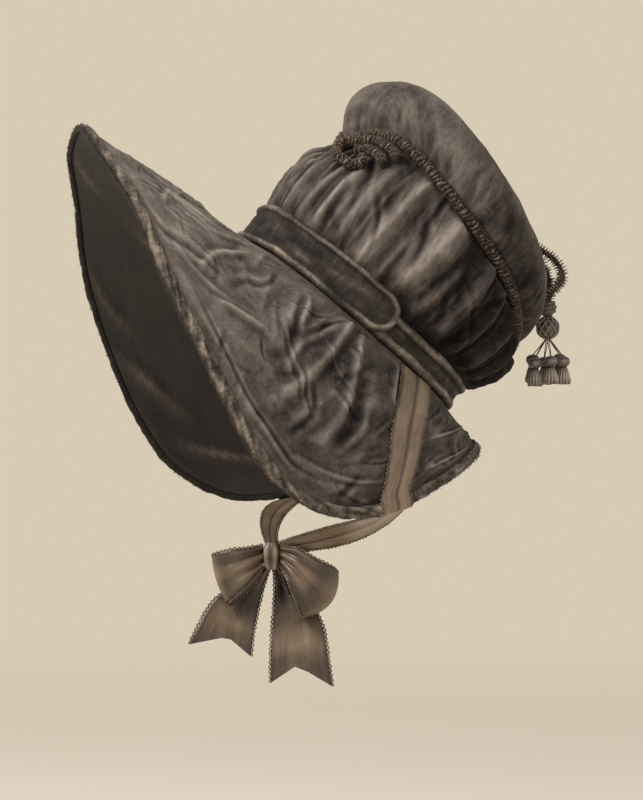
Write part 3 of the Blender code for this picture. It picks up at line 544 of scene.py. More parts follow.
# The brim's own creases, the same on both sides: half width and height in millimetres, then angle and depth.
brimCreases = [
    (2.4, 2.0, (79, 0.035), (79.9, 0.38), (77.1, 0.754)),
    (2.6, 1.8, (84.9, 0.08), (91.1, 0.33), (93.2, 0.57), (90.5, 0.72)),
    (2.3, 1.6, (105.1, 0.04), (106.5, 0.28)),
    (1.9, -1.2, (18, 0.95), (33.7, 0.90), (39.1, 0.756), (44, 0.666), (48.2, 0.627)),
    (1.8, -0.8, (44, 0.955), (55, 0.915), (66, 0.93)),
    (2.0, -0.8, (72, 0.94), (82, 0.91), (92, 0.93)),
    (1.9, -1.1, (50, 0.86), (61, 0.87), (72, 0.88), (81, 0.87), (90, 0.88), (98, 0.86)),
    (1.8, 1.2, (44.5, 0.74), (40.1, 0.56), (39.5, 0.33)),
    (1.9, 1.3, (52, 0.75), (57, 0.66), (64, 0.56)),
    (1.8, -1.1, (15, 0.70), (30.5, 0.51), (34.5, 0.34)),
    (2.2, 0.9, (90, 0.84), (103.3, 0.80), (114, 0.77)),
    (2.0, 1.3, (75.5, 0.15), (71.8, 0.40), (74.5, 0.60)),
    (2.6, -1.6, (59.8, 0.16), (65, 0.32), (69.5, 0.46)),
    (2.4, 1.6, (127, 0.49), (139, 0.47), (151, 0.44)),
    (2.4, 1.6, (127, 0.746), (138, 0.74), (150, 0.75)),
    (2.0, 1.1, (150, 0.55), (162, 0.60), (178, 0.60)),
    (1.8, 1.1, (30, 0.16), (33, 0.40), (27, 0.62)),
    (1.7, -1.0, (48, 0.20), (52, 0.36), (49, 0.52)),
    (1.7, 1.0, (98, 0.34), (100, 0.52), (97, 0.70)),
    (1.8, -1.1, (82, 0.50), (86, 0.62), (84, 0.80)),
    (1.7, -1.0, (5, 0.25), (12, 0.50), (10, 0.72)),
]
tieTable = table("depth front back", [
    (0.02, 108.2, 127.0), (0.16, 108.6, 125.6), (0.40, 109.6, 123.0), (0.70, 112.6, 122.3),
    (0.86, 114.0, 122.0),
])


def brimPoint(around, depth):
    around, depth = np.broadcast_arrays(np.asarray(around, float), np.asarray(depth, float))
    angle = (around + 180) % 360 - 180
    side, sign = np.abs(angle), np.where(angle >= 0, 1, -1)
    out, down, bow = (column(rim, name, side, "around")[..., None] for name in ("out", "down", "bow"))
    along = (column(rim, "along", side, "around", -1) * sign)[..., None]
    reach = (outward(angle) * out - upCrown * down + onward(angle) * along) * brimSize["depth"]
    length = np.linalg.norm(reach, axis=-1, keepdims=True)
    bulge = unit(outward(angle) * down + upCrown * out) * bow * length
    share = depth[..., None]
    return ringPoint(angle) + upCrown * dip(angle)[..., None] + reach * share + bulge * 4 * share * (1 - share)


def brimFacing(around, depth):
    return -facing(brimPoint, around, depth)


def distanceToLine(points, start, end):
    way = end - start
    share = np.clip(((points - start) @ way) / (way @ way), 0, 1)
    return np.linalg.norm(points - start - way * share[..., None], axis=-1)


# Where the brim is free to fold: not under the band, the binding or the ties.
def brimFree(around, depth, here):
    side = folded(around)
    fromRim = np.linalg.norm(here - brimPoint(side, np.ones_like(depth)), axis=-1)
    fromSeam = np.linalg.norm(here - brimPoint(side, np.zeros_like(depth)), axis=-1)
    pressed = brimPressed["band"] * (0.8 + 2 * np.cos(np.radians(side)) ** 2)
    shares = np.array((0.0, 0.3, 0.6, 0.9))
    edges = [column(tieTable, name, shares, "depth") for name in ("front", "back")]
    ties = brimPoint((edges[0] + edges[1]) / 2, shares)
    fromTie = np.min([distanceToLine(here, a, b) for a, b in zip(ties, ties[1:])], axis=0)
    near = ramp(fromSeam, 0.8 * pressed, 1.7 * pressed)
    clear = ramp(fromSeam, pressed, 3 * pressed) * ramp(fromTie, *brimPressed["tie"])
    return ramp(fromRim, *brimPressed["binding"]) * near, clear


# Creases placed one by one, from angle and depth to lines in the pattern.
def placedCreases(rows, spacing):
    scale = (brimSize["perDegree"], brimSize["across"])
    return [(smooth(np.array(points) * scale, spacing), width, height) for width, height, *points in rows]


# How far folds and creases lift the brim's velvet here, and how worn and shaded it is: painted light towards
# the front, painted highlights on fold and crease crests over rubbed pile, painted shade in their hollows.
def brimLift(around, depth):
    side = folded(around)
    here = brimPoint(side, depth)
    lift = np.zeros_like(side)
    for k in range(len(folds["height"])):
        start = brimPoint(folds["around"][k], folds["depth"][k])
        end = brimPoint(folds["toAround"][k], folds["toDepth"][k])
        away = distanceToLine(here, start, end) / (folds["width"][k] * brimSize["depth"])
        lift = np.maximum(lift, folds["height"][k] * np.exp(-1.5 * away ** 1.25))
    u, v = around * brimSize["perDegree"], depth * brimSize["across"]
    own = placedCreases(brimCreases, 4)
    hand, wornAndShaded = creaseCloth(side * brimSize["perDegree"], v, own, brimSize["noClosing"])
    more, moreWornAndShaded = creaseCloth(u % brimSize["girth"], v, randomCreases(**brimScatter), brimSize["girth"])
    slantU, slantV = u * 0.80 + v * 0.60, v * 0.80 - u * 0.60
    soft = 1 - 2.2 * np.abs(grain(strip(slantU / 26, slantV / 70), 1.0, 3.0, 3))
    small = grain(strip(u / 8, v / 11), 1.0, 5.0, 4)
    free, clear = brimFree(around, depth, here)
    fine = (0.8 * soft + 0.3 * small) * brimSize["crease"] + (hand + 0.7 * more) * 0.001
    height = brimSize["pucker"] * lift * free * clear + fine * free * (0.2 + 0.8 * clear)
    creased = np.maximum(wornAndShaded + 0.9 * moreWornAndShaded, brimWearAndShading["dark"]) + brimWearAndShading["soft"] * soft
    # painted light towards the front, then painted highlights on fold crests and painted shade in folds and
    # creases, on partly rubbed pile
    wearAndShading = brimWearAndShading["base"] + brimWearAndShading["front"] * ramp(side, 95, 20)
    wearAndShading = wearAndShading + brimWearAndShading["fold"] * (lift - 0.25) * free + creased * free
    return height, np.clip(wearAndShading, 0.02, 1.2)


def onBrim(around, depth, height):
    return brimPoint(around, depth) + brimFacing(around, depth) * np.asarray(height)[..., None]


def makeBrim():
    rowCount, few = brimSize["rows"], brimSize["backRows"]
    perDegree, across = brimSize["perDegree"], brimSize["across"]
    angles, shares = roundAngles(brimSize["columns"]), np.linspace(0, 1, rowCount)
    around, depth = np.meshgrid(angles, shares, indexing="ij")
    height, wearAndShading = brimLift(around, depth)
    kept = np.linspace(0, rowCount - 1, few).astype(int)  # the plain back needs few rows
    front = onBrim(around, depth, height + cloth["velvet"])
    back = onBrim(around[:, kept], depth[:, kept], np.zeros((len(angles), few)))
    store = startMesh()
    rows = np.concatenate([shares, shares[kept][::-1]]) * across
    wallWearAndShading = np.concatenate([wearAndShading, np.full((len(angles), few), 0.3)], axis=1)
    pattern = np.append(angles, 360) * perDegree
    addGrid(store, wallSections(front, back), True, pattern, np.append(rows, 0), wallWearAndShading)
    addPiece("brimVelvet", store, velvet, ["brim"])

    inner, angles = np.linspace(0, brimSize["liningEnd"], brimSize["liningRows"]), angles[::4]
    around, depth = np.meshgrid(angles, inner, indexing="ij")
    u, v = around * perDegree, depth * across
    drawn = np.abs(grain(strip((u + v * 0.5) / 46, v / 200), 1.0, 21.0, 3)) * 1.1
    own = placedCreases(liningFolds, 6)
    lit, sheen = creaseCloth(folded(around) * perDegree, v, own, brimSize["noClosing"])
    eased = ramp(1 - depth, 0.015, 0.06) * ramp(depth, 0, 0.1)
    hollow = cloth["gap"] + 0.0002 + (drawn + np.maximum(lit, -0.3)) * 0.001 * eased
    top = onBrim(around, depth, -hollow)
    under = onBrim(around, depth, -hollow - cloth["lining"])
    store = startMesh()
    wallWearAndShading = np.concatenate([np.full_like(u, 0.4), (0.42 + 1.7 * np.maximum(sheen, -0.03))[:, ::-1]], 1)
    pattern = np.append(angles, 360) * perDegree
    addGrid(store, wallSections(top, under), True, pattern, wallPattern(inner * across), wallWearAndShading)
    addPiece("brimLiningSilk", store, liningSilk, ["brim_lining"])


def rimFrame(around):
    one = np.ones_like(around)
    edge = unit(brimPoint(around + 0.5, one) - brimPoint(around - 0.5, one))
    normal = brimFacing(around, one)
    inward = np.cross(normal, edge)
    back = np.sum(inward * (brimPoint(around, 0 * one) - brimPoint(around, one)), -1, keepdims=True)
    return brimPoint(around, one), inward * np.where(back < 0, -1, 1), normal


# The frayed hairs: how far they start from the rim's middle, back and up, how long they are and half as wide.
binding = {"columns": 820, "crumple": 0.00075, "hairs": 1300}
hair = {"back": 0.0021, "up": 0.0034, "length": (0.0008, 0.0021), "half": 0.00028, "across": 0.0002}
# The binding's section: how far back from the rim and how high above the brim's underside, in millimetres,
# and how much it crumples. It laps further over the velvet than over the lining.
bindingProfile = table("back high loose", [
    (6.6, 2.2, 0.0), (6.9, 2.9, 0.5), (6.2, 3.7, 1.0), (4.9, 4.1, 1.0), (3.5, 4.2, 1.0), (2.1, 4.2, 1.0),
    (0.7, 4.0, 1.0), (-0.7, 3.3, 1.0), (-1.8, 2.1, 1.0), (-2.2, 0.7, 1.0), (-2.0, -0.8, 1.0), (-1.1, -2.1, 0.9),
    (0.2, -2.5, 0.6), (1.3, -2.5, 0.3), (2.0, -2.3, 0.1), (2.2, -2.1, 0.0), (-0.5, -2.0, 0.0), (-0.5, 2.2, 0.0),
])


# The velvet edge: folded round the rim, with flat slanting crumples and frayed pile.
def makeBinding():
    angles = roundAngles(binding["columns"])
    middle, inward, normal = rimFrame(angles)
    steps = np.linalg.norm(np.roll(middle, -1, 0) - middle, axis=1)
    along = np.append(0, np.cumsum(steps)) * 1000
    back, high, loose = (bindingProfile[name] for name in ("back", "high", "loose"))
    girth = np.append(0, np.cumsum(np.hypot(np.diff(back), np.diff(high))))
    s, t = np.meshgrid(along[:-1], girth, indexing="ij")
    slant, across = s * 0.95 + t * 0.30, t * 0.95 - s * 0.30
    ripple = grain(strip(slant / 15.0, across / 3.4), 1.0, 2.0, 4)
    slow = grain(strip(s / 24, t / 14), 1.0, 8.0, 2)
    grow = (ripple * 1.1 + slow * 0.8) * binding["crumple"] * loose
    lean = np.array([back - 1.6, high - 0.6])
    lean = lean / np.linalg.norm(lean, axis=0)
    backs, highs = back / 1000 + lean[0] * grow, high / 1000 + lean[1] * grow
    sections = middle[:, None] + inward[:, None] * backs[..., None] + normal[:, None] * highs[..., None]
    # darker where it wraps under the brim; lighter on the crests of its crumples and darker in their hollows,
    # as painted highlight and painted shade on rubbed pile
    shown = ramp(high, 0.6, 3.0)
    wearAndShading = np.clip(0.10 + (0.50 + 0.42 * ripple + 0.22 * slow) * shown, 0, 1.2)
    store = startMesh()
    addGrid(store, sections, True, along, np.append(girth, girth[-1] + 4.2), wearAndShading)
    spikes = []
    for _ in range(binding["hairs"]):
        i = random.randrange(len(angles))
        turn = random.uniform(0.5, 1.5) * math.pi
        out = inward[i] * math.cos(turn) + normal[i] * math.sin(turn)
        root = middle[i] + inward[i] * (math.cos(turn) * hair["back"] + 0.0001)
        root = root + normal[i] * (math.sin(turn) * hair["up"] + 0.0006)
        forward = unit(np.cross(inward[i], normal[i]))
        tip = root + unit(out + forward * random.uniform(-1, 1)) * random.uniform(*hair["length"])
        half, across = forward * hair["half"], np.cross(out, forward) * hair["across"]
        spikes += [root + half, root - half + across, root - half - across, tip]
    addSpikes(store, spikes, [0.5, 0.5, 0.5, 0.9] * binding["hairs"], 3, 300)
    addPiece("rimBindingVelvet", store, velvetEdge, ["rim_binding"])


makeBrim()
makeBinding()
print("brim made")

# The crown: how far its side stands out, its seam's height by angle, and its top from the seam in.
crownSide = table("rise out", [
    (0.0, 0.992), (0.12, 1.0), (0.30, 1.045), (0.48, 1.075), (0.64, 1.07), (0.80, 1.03), (0.92, 0.985),
    (1.0, 0.964),
])
crownSeam = table("around high", [
    (0, 0.98), (15, 1.09), (30, 1.165), (45, 1.165), (60, 1.115), (75, 1.06), (90, 1.0), (105, 0.945),
    (120, 0.885), (135, 0.81), (150, 0.735), (165, 0.66), (180, 0.62),
])
crownTop = table("rise out up shift", [
    (0.00, 0.964, 0.00, 1.00), (0.12, 1.045, 0.10, 0.85), (0.28, 1.100, 0.28, 0.60), (0.45, 1.080, 0.50, 0.55),
    (0.62, 0.965, 0.72, 0.60), (0.76, 0.723, 0.88, 0.70), (0.89, 0.420, 0.97, 0.80), (1.00, 0.000, 1.00, 0.80),
])
gathers = table("foot top width height start end", [
    (0, 2, 5.0, 0.60, 0.05, 0.90), (13, 17, 4.5, 0.65, 0.00, 0.90), (25, 27, 4.5, 0.60, 0.00, 0.75),
    (36, 40, 4.5, 0.80, 0.00, 0.70), (50, 49, 4.5, 0.65, 0.05, 0.90), (64, 63, 5.0, 0.95, 0.00, 1.02),
    (85, 84, 7.5, 1.00, 0.10, 1.02), (97, 96, 3.5, 0.75, 0.00, 0.75), (110, 106, 5.0, 1.05, 0.00, 1.02),
    (123, 118, 5.0, 0.80, 0.00, 1.00), (137, 131, 5.5, 1.05, 0.00, 1.02), (151, 146, 5.5, 0.85, 0.00, 1.00),
    (166, 162, 5.5, 0.80, 0.00, 1.00), (180, 180, 5.0, 0.70, 0.00, 1.00),
    (56, 55, 2.4, 0.45, 0.05, 0.95), (74, 73, 2.6, 0.45, 0.00, 0.60), (90, 92, 2.4, 0.40, 0.40, 1.02),
    (104, 101, 2.4, 0.50, 0.00, 0.95), (116, 112, 2.2, 0.45, 0.05, 1.02), (130, 125, 2.4, 0.50, 0.00, 0.95),
    (144, 139, 2.4, 0.45, 0.00, 0.95), (158, 154, 2.4, 0.45, 0.00, 0.95), (173, 171, 2.4, 0.45, 0.00, 0.95),
    (7, 9, 2.2, 0.45, 0.00, 0.80), (19, 22, 2.2, 0.40, 0.00, 0.85), (31, 33, 2.2, 0.40, 0.00, 0.70),
    (43, 45, 2.2, 0.45, 0.00, 0.60),
])
crownSize = {
    "height": 0.109, "shift": 0.010, "gather": 0.0098, "band": 0.0225, "top": 0.1655, "slope": 0.28,
    "crease": 0.0010, "columns": 480, "rows": 84, "topRows": 52, "topEnd": 0.985,
    "perDegree": 1.65, "girth": 594, "across": 90, "topPerDegree": 1.75, "topAcross": 110,  # of its pattern
}
crownScatter = {
    "seed": 8, "count": 90, "spanU": (0, 594), "spanV": (6, 84), "headings": (55, 125), "lengths": (25, 70),
    "widths": (1.4, 2.2), "depths": (0.5, 1.2), "ridges": 0.5,
}
chenilleSize = {"width": 0.0084, "drop": 0.0022, "perMm": 15}


def seamHeight(around):
    return column(crownSeam, "high", folded(around), "around") * crownSize["height"]


def bandFoot(around):
    return dip(around) + cloth["velvet"] + cloth["gap"]


def crownPoint(around, rise):
    around, rise = np.broadcast_arrays(np.asarray(around, float), np.asarray(rise, float))
    low = bandFoot(around) + crownSize["band"]
    height = low + (seamHeight(around) - low) * rise
    ring = ringPoint(around, column(crownSide, "out", np.clip(rise, 0, 1), "rise"))
    return ring + toNape * (crownSize["shift"] * rise)[..., None] + upCrown * height[..., None]


def topPoint(around, rise):
    around, rise = np.broadcast_arrays(np.asarray(around, float), np.asarray(rise, float))
    out, up, shift = (column(crownTop, name, np.clip(rise, 0, 1), "rise") for name in ("out", "up", "shift"))
    flat = ringPoint(around, out) + toNape * (crownSize["shift"] * shift)[..., None]
    top = crownSize["top"] - crownSize["slope"] * (flat @ toNape)
    return flat + upCrown * (seamHeight(around) * (1 - up) + top * up)[..., None]


def gatherLift(around, rise):
    side = folded(around)
    lift = np.zeros_like(side)
    for k in range(len(gathers["height"])):
        foot, top, start, end = (gathers[name][k] for name in ("foot", "top", "start", "end"))
        away = np.abs(side - foot - (top - foot) * rise) / gathers["width"][k]
        swell = ramp(rise, start, start + 0.2) * (1 - ramp(rise, end - 0.2, end))
        lift = np.maximum(lift, gathers["height"][k] * swell * np.exp(-1.2 * away ** 1.5))
    return lift


def onCrown(around, rise, height):
    flat = gatherLift(around, rise) * crownSize["gather"]
    belowSeam = (1 - rise) * (seamHeight(around) - bandFoot(around) - crownSize["band"])
    flat = flat * ramp(belowSeam, 0.010, 0.020)
    return crownPoint(around, rise) + facing(crownPoint, around, rise) * (flat + height)[..., None]


def makeCrown():
    angles, perDegree = roundAngles(crownSize["columns"]), crownSize["perDegree"]
    shares = np.linspace(0, 1, crownSize["rows"])
    around, rise = np.meshgrid(angles, shares, indexing="ij")
    lift = gatherLift(around, rise)
    u, v = around * perDegree, rise * crownSize["across"]
    drawn = 1 - 2.2 * np.abs(grain(strip((u + 0.25 * v) / 8, v / 42), 1.0, 31.0, 3))
    slantU, slantV = u * 0.7 - v * 0.7, u * 0.7 + v * 0.7
    crossed = 1 - 2.2 * np.abs(grain(strip(slantU / 30, slantV / 11), 1.0, 37.0, 3))
    belowSeam = (1 - rise) * (seamHeight(around) - bandFoot(around) - crownSize["band"])
    below = ramp(belowSeam, 0.004, 0.014)
    free = below * ramp(rise, 0.0, 0.08)
    more, wornAndShaded = creaseCloth(u, v, randomCreases(**crownScatter), crownSize["girth"])
    fine = 0.6 * drawn + 0.5 * crossed
    height = lift * crownSize["gather"] * below + fine * crownSize["crease"] * free + more * free * 0.001
    # painted shade over the rear of the side, under the top's overhang; painted highlights on the gathers'
    # crests and painted shade in their hollows and creases, on partly rubbed pile
    shaded = ramp(folded(around), 80, 118)
    lights = 0.66 * (lift - 0.30) + 0.15 * fine + wornAndShaded
    wearAndShading = np.clip(0.44 - 0.42 * shaded + lights * (1 - 0.4 * shaded), 0, 1.2)
    normal = facing(crownPoint, around, rise)
    front = crownPoint(around, rise) + normal * height[..., None]
    back = crownPoint(around, rise) + normal * (height * 0.6 - cloth["velvet"])[..., None]
    foot = (ringPoint(angles, 0.990) + upCrown * (dip(angles) - 0.0012)[:, None])[:, None]
    inside = foot - outward(angles)[:, None] * cloth["velvet"]
    front, back = np.concatenate([foot, front], 1), np.concatenate([inside, back], 1)
    wallWearAndShading = np.concatenate([wearAndShading[:, :1], wearAndShading, np.full((len(angles), crownSize["rows"] + 1), 0.25)], 1)
    rows = np.append(-22, shares * crownSize["across"])
    store = startMesh()
    pattern = np.append(angles, 360) * perDegree
    addGrid(store, wallSections(front, back), True, pattern, wallPattern(rows), wallWearAndShading)
    addPiece("crownSideVelvet", store, velvet, ["crown_side"])

    shares = np.linspace(0, crownSize["topEnd"], crownSize["topRows"])
    around, rise = np.meshgrid(angles, shares, indexing="ij")
    u, v = around * crownSize["topPerDegree"], rise * crownSize["topAcross"]
    pulled = 1 - 2.0 * np.abs(grain(strip(u / 11, v / 70), 1.0, 41.0, 3))
    soft = grain(topPoint(around, rise), 0.030, 7.0, 3)
    near = 1 - ramp(rise, 0.15, 0.75)
    height = pulled * 0.9 * near + soft * 0.9 * (1 - ramp(rise, 0.8, 0.98))
    height = height * crownSize["crease"] * ramp(rise, 0, 0.06)
    # painted shade towards the rear near the seam, painted light over the upper part from where the top turns
    # over, painted highlights on the pulled ridges and soft swells
    shaded = 0.24 * ramp(folded(around), 66, 122) * near
    turned = 0.12 * ramp(rise, 0.40, 0.66)
    wearAndShading = np.clip(0.53 + 0.14 * pulled * near + 0.13 * soft + turned - shaded, 0, 1.2)
    lifted = np.where(rise > 0.001, 1.0, 0.0)
    normal = facing(topPoint, around, np.maximum(rise, 0.01))
    base = topPoint(around, rise) + upCrown * cloth["gap"]
    front = base + normal * (height * lifted)[..., None]
    back = base - normal * cloth["velvet"]
    middle = topPoint(np.array(0.0), np.array(1.0)) + upCrown * cloth["gap"]
    inner = front[:, -1:] + (middle - front[:, -1:]) * np.array((0.35, 0.7, 0.97))[None, :, None]
    front = np.concatenate([front, inner], 1)
    back = np.concatenate([back, inner - upCrown * cloth["velvet"]], 1)
    wearAndShading = np.concatenate([wearAndShading, wearAndShading[:, -3:]], 1)
    # the pattern lies flat from the middle out, so the nap of the top runs one way
    fromSeam = np.append(0, np.cumsum(np.linalg.norm(np.diff(front, axis=1), axis=2).mean(0))) * 1000
    reach = fromSeam[-1] - fromSeam
    turn = np.radians(angles)[:, None]
    spread = np.stack([reach * np.cos(turn), reach * np.sin(turn)], -1)
    store = startMesh()
    wallWearAndShading = np.concatenate([wearAndShading, np.full_like(wearAndShading, 0.25)], 1)
    walls, flat = wallSections(front, back), wallSections(spread, spread)
    addGrid(store, walls, True, np.append(angles, 360), np.zeros(walls.shape[1] + 1), wallWearAndShading, flat)
    addPiece("crownTopVelvet", store, velvet, ["crown_top"])


makeCrown()
print("crown made")

# The band and the flat loop, with rolled edges: metres, the loop's end and round in degrees, the pattern in mm.
bandSize = {
    "wall": 0.0016, "low": 0.0006, "roll": 0.0042, "loopWidth": 0.0320, "loopEnd": 83.6, "loopRound": 10.0,
    "crumple": 0.0006, "perDegree": 1.6, "across": 36,
}


# A band round the foot of the crown. One soft crumpled roll runs along its edges, and round the end of the
# loop, where past tells how far each section lies beyond the middle of the round.
def makeBand(name, around, width, stand, lifted, past, closed, stands, seed):
    roll, half = (1.6 if closed else 1.25) * bandSize["roll"], float(width.max()) / 2
    edge = (1 - np.cos(np.linspace(0, math.pi, 14))) / 2
    wide = width[:, None]
    fits = np.minimum(roll, wide * 0.42)
    middle = fits + (wide - 2 * fits) * np.linspace(0.08, 0.92, 14)[None]
    ups = np.concatenate([edge[None] * fits, middle, wide - edge[None, ::-1] * fits], 1)
    inside = np.maximum(half - np.hypot(past[:, None], ups - wide / 2), 0)
    bulge = np.sin(math.pi * np.clip(inside / roll, 0, 1)) ** 0.8
    low, perDegree = bandSize["low"], bandSize["perDegree"]
    outs = bulge * bandSize["roll"] * 0.82 + low + (bandSize["wall"] - low) * ramp(inside, 0.6 * roll, roll)
    s = np.asarray(around, float)[:, None] * perDegree * np.ones_like(ups)
    ripple = grain(strip((s + ups * 500) / 24, ups * 1000 / 7), 1.0, seed, 4)
    slow = grain(strip(s / 30, ups * 1000 / 14), 1.0, seed + 4, 2)
    outs = outs * (1 + 0.16 * ripple) + slow * bandSize["crumple"]
    lowered = ups + lifted[:, None]
    ups = lowered + slow * 0.0012
    base = ringPoint(around) + outward(around) * stand
    foot = bandFoot(around)[:, None]
    front = base[:, None] + outward(around)[:, None] * outs[..., None] + upCrown * (foot + ups)[..., None]
    back = base[:, None] + upCrown * (foot + ups * 0.96 + half * 0.04)[..., None]
    store = startMesh()
    # lighter on the rubbed roll and on crumple crests, with painted highlight; darker in the groove beside the
    # roll and in crumple hollows, as painted shade
    besideRoll = np.exp(-(((inside / roll - 1.05) / 0.14) ** 2))
    rubAndShading = 0.23 + 0.44 * bulge - 0.14 * besideRoll + 0.26 * ripple + 0.24 * slow
    wallWearAndShading = np.clip(np.concatenate([rubAndShading, np.full_like(ups, 0.2)], 1), 0, 1.2)
    along = (np.append(around, 360) if closed else around) * perDegree
    pattern = wallPattern(np.linspace(0, bandSize["across"], ups.shape[1]))
    addGrid(store, wallSections(front, back), closed, along, pattern, wallWearAndShading)
    addPiece(name, store, velvetEdge, stands)


def makeBands():
    angles = np.arange(360.0)
    zeros = np.zeros_like(angles)
    wide = zeros + crownSize["band"]
    makeBand("bandStrapVelvet", angles, wide, 0.0003, zeros, zeros, True, ["band_strap"], 51.0)
    end, turnEnd = bandSize["loopEnd"], bandSize["loopRound"]
    plain = np.linspace(-end, end, 170)
    caps = np.sin(np.linspace(0.08, 0.985, 22) * math.pi / 2)
    around = np.concatenate([-(end + caps[::-1] * turnEnd), plain, end + caps * turnEnd])
    shape = np.sqrt(np.maximum(1 - caps ** 2, 0.02))
    width = bandSize["loopWidth"] * np.concatenate([shape[::-1], np.ones_like(plain), shape])
    past = bandSize["loopWidth"] / 2 * np.concatenate([caps[::-1], np.zeros_like(plain), caps])
    lifted = (bandSize["loopWidth"] - width) / 2
    stand = bandSize["roll"] + cloth["gap"]
    makeBand("bandLoopVelvet", around, width, stand, lifted, past, False, ["band_loop"], 61.0)


makeBands()
print("bands made")

# Chenille on the crown: the curl and the tucked end at its front.
curl = table("around rise", [
    (45, 0.845), (37, 0.875), (29, 0.875), (22, 0.840), (18, 0.765), (20, 0.680), (26, 0.620), (33, 0.615),
    (36, 0.665), (33, 0.705),
])
tuck = table("around rise", [(43, 0.745), (38, 0.780), (31, 0.780), (27, 0.735)])


def makeChenille():
    angles = np.arange(0, 360, 3.0)
    seam = crownPoint(angles, np.ones_like(angles)) - upCrown * chenilleSize["drop"]
    line = seam + outward(angles) * (chenilleSize["width"] / 2 + 0.0010)
    half = chenilleSize["width"] / 2
    laid = [("seamChenilleCord", line, True, ["seam_chenille"])]
    for name, rows, stands in (
        ("chenilleCurlCord", curl, ["chenille_curl"]), ("chenilleTuckCord", tuck, ["chenille_tuck"]),
    ):
        path = onCrown(rows["around"], rows["rise"], np.full(len(rows["rise"]), half + 0.0007))
        laid.append((name, path, False, stands))
    for name, path, closed, stands in laid:
        store = startMesh()
        fine = addChenille(store, path, half * 0.90, 0.0036, 0.38, closed)
        addBristles(store, fine, half * 0.6, half + 0.0011, chenilleSize["perMm"], 0.5, 0.00040)
        addPiece(name, store, chenille, stands)


makeChenille()
print("chenille made")

# The drop: two strands, a bound knot, a netted ball and six tassels.
strandSize = {"width": 0.0070, "pile": 0.0018, "perMm": 9}
outerRoute = [
    (-0.0130, 0.1412, 0.0752), (-0.0120, 0.1507, 0.0678), (-0.0100, 0.1587, 0.0610), (-0.0080, 0.1667, 0.0550),
    (-0.0068, 0.1735, 0.0485), (-0.0050, 0.1768, 0.0410), (-0.0030, 0.1752, 0.0350), (-0.0010, 0.1700, 0.0298),
    (-0.0003, 0.1656, 0.0252), (-0.0002, 0.1650, 0.0203),
]
innerRoute = [
    (-0.0210, 0.1450, 0.0648), (-0.0200, 0.1530, 0.0600), (-0.0178, 0.1595, 0.0540), (-0.0145, 0.1645, 0.0465),
    (-0.0112, 0.1673, 0.0395), (-0.0090, 0.1676, 0.0313), (-0.0079, 0.1656, 0.0252), (-0.0078, 0.1650, 0.0203),
]
drop = {
    "x": -0.0040, "y": 0.1650, "top": 0.0195, "bindRadius": 0.0066, "bindHeight": 0.0100, "ball": 0.0092,
    "spread": 0.0124, "thread": 0.0118, "headRadius": 0.0051, "headHeight": 0.0082, "skirtRadius": 0.0060,
    "skirtLength": 0.0134, "turn": 52, "flutes": 13, "wrapThread": 0.00175, "netThread": 0.00062, "netEach": 10,
    "hairThread": 0.00036, "neckThread": 0.0005, "neckRadius": 0.0025,
    "uneven": (0.0, -0.0016, 0.0009, -0.0011, 0.0014, -0.0004),  # how much lower each tassel hangs
}


# A free chenille strand: its core is the cord, and its pile is a sleeve of bristles on it.
def makeStrand(name, route, node):
    line = smooth(route, strandSize["width"] * 0.5)
    half = strandSize["width"] / 2
    # its ends are sewn into the crown's top and bound into the knot
    rooted = np.concatenate([[line[0] + (0, -0.0048, 0.0014)], line, [line[-1] - (0, 0, 0.0022)]])
    store = startMesh()
    addChenille(store, rooted, half * 0.62, 0.0017, 0.40)
    strand = addPiece(name, store, chenille, [node])
    store = startMesh()
    pileLine, reach = smooth(rooted, 0.001)[:-3], half + strandSize["pile"]
    # the strand's pile is painted lighter, as painted light on a strand that hangs in shade
    addBristles(store, pileLine, half * 0.4, reach, strandSize["perMm"], 0.10, 0.00062, 0.0021, 0.42)
    pile = addPiece(name + "Pile", store, chenille, [])
    length = float(lengthsAlong(line)[-1])
    return strand, pile, line, length


def makeDrop():
    strands = [
        makeStrand("dropStrandOuter", outerRoute, "drop_strand_outer"),
        makeStrand("dropStrandInner", innerRoute, "drop_strand_inner"),
    ]
    top = np.array((drop["x"], drop["y"], drop["top"]))
    down = np.array((0, 0, -1.0))
    store = startMesh()
    core = [top + down * drop["bindHeight"] * share for share in (-0.06, 0.3, 0.7, 1.12)]
    addTube(store, core, [drop["bindRadius"] * s for s in (0.66, 0.8, 0.8, 0.5)], 20, False, 0.30)
    for wrap, wide in enumerate((0.66, 0.80, 0.72)):  # slanting turns of wound silk
        turns = np.radians(np.arange(0, 360, 10))
        height = drop["bindHeight"] * (0.20 + 0.29 * wrap)
        radius = drop["bindRadius"] * wide
        ring = roundPoints(radius, turns, -height + 0.0010 * np.sin(turns + 0.9)) + top
        addTube(store, ring, drop["wrapThread"], 14, True, 0.30)
    knot = addPiece("dropKnotSilk", store, silk, ["drop_knot"])
    ball = top + down * (drop["bindHeight"] + cloth["gap"] + drop["ball"])
    store = startMesh()
    tilts = np.radians(np.linspace(88, -88, 18))
    turns = np.radians(np.arange(0, 360, 15))
    shell = ball + roundPoints(np.cos(tilts)[:, None], turns, np.sin(tilts)[:, None]) * drop["ball"] * 0.90
    addGrid(store, shell, False, np.linspace(0, 28, 18), np.linspace(0, 50, 25), np.full((18, 24), 0.20))
    rising = np.radians(np.linspace(-80, 80, 34))
    for way in (-1, 1):  # the net: threads that wind round the ball both ways
        for k in range(drop["netEach"]):
            turn = math.radians(36 * k) + way * np.linspace(0, 2.0, 34)
            path = ball + roundPoints(np.cos(rising), turn, np.sin(rising)) * drop["ball"] * 0.93
            addTube(store, path, drop["netThread"], 6, False, 0.52)
    netted = addPiece("dropBallSilk", store, silk, ["drop_ball"])
    for k in range(6):
        makeTassel(k, ball + down * (drop["ball"] + cloth["gap"]))


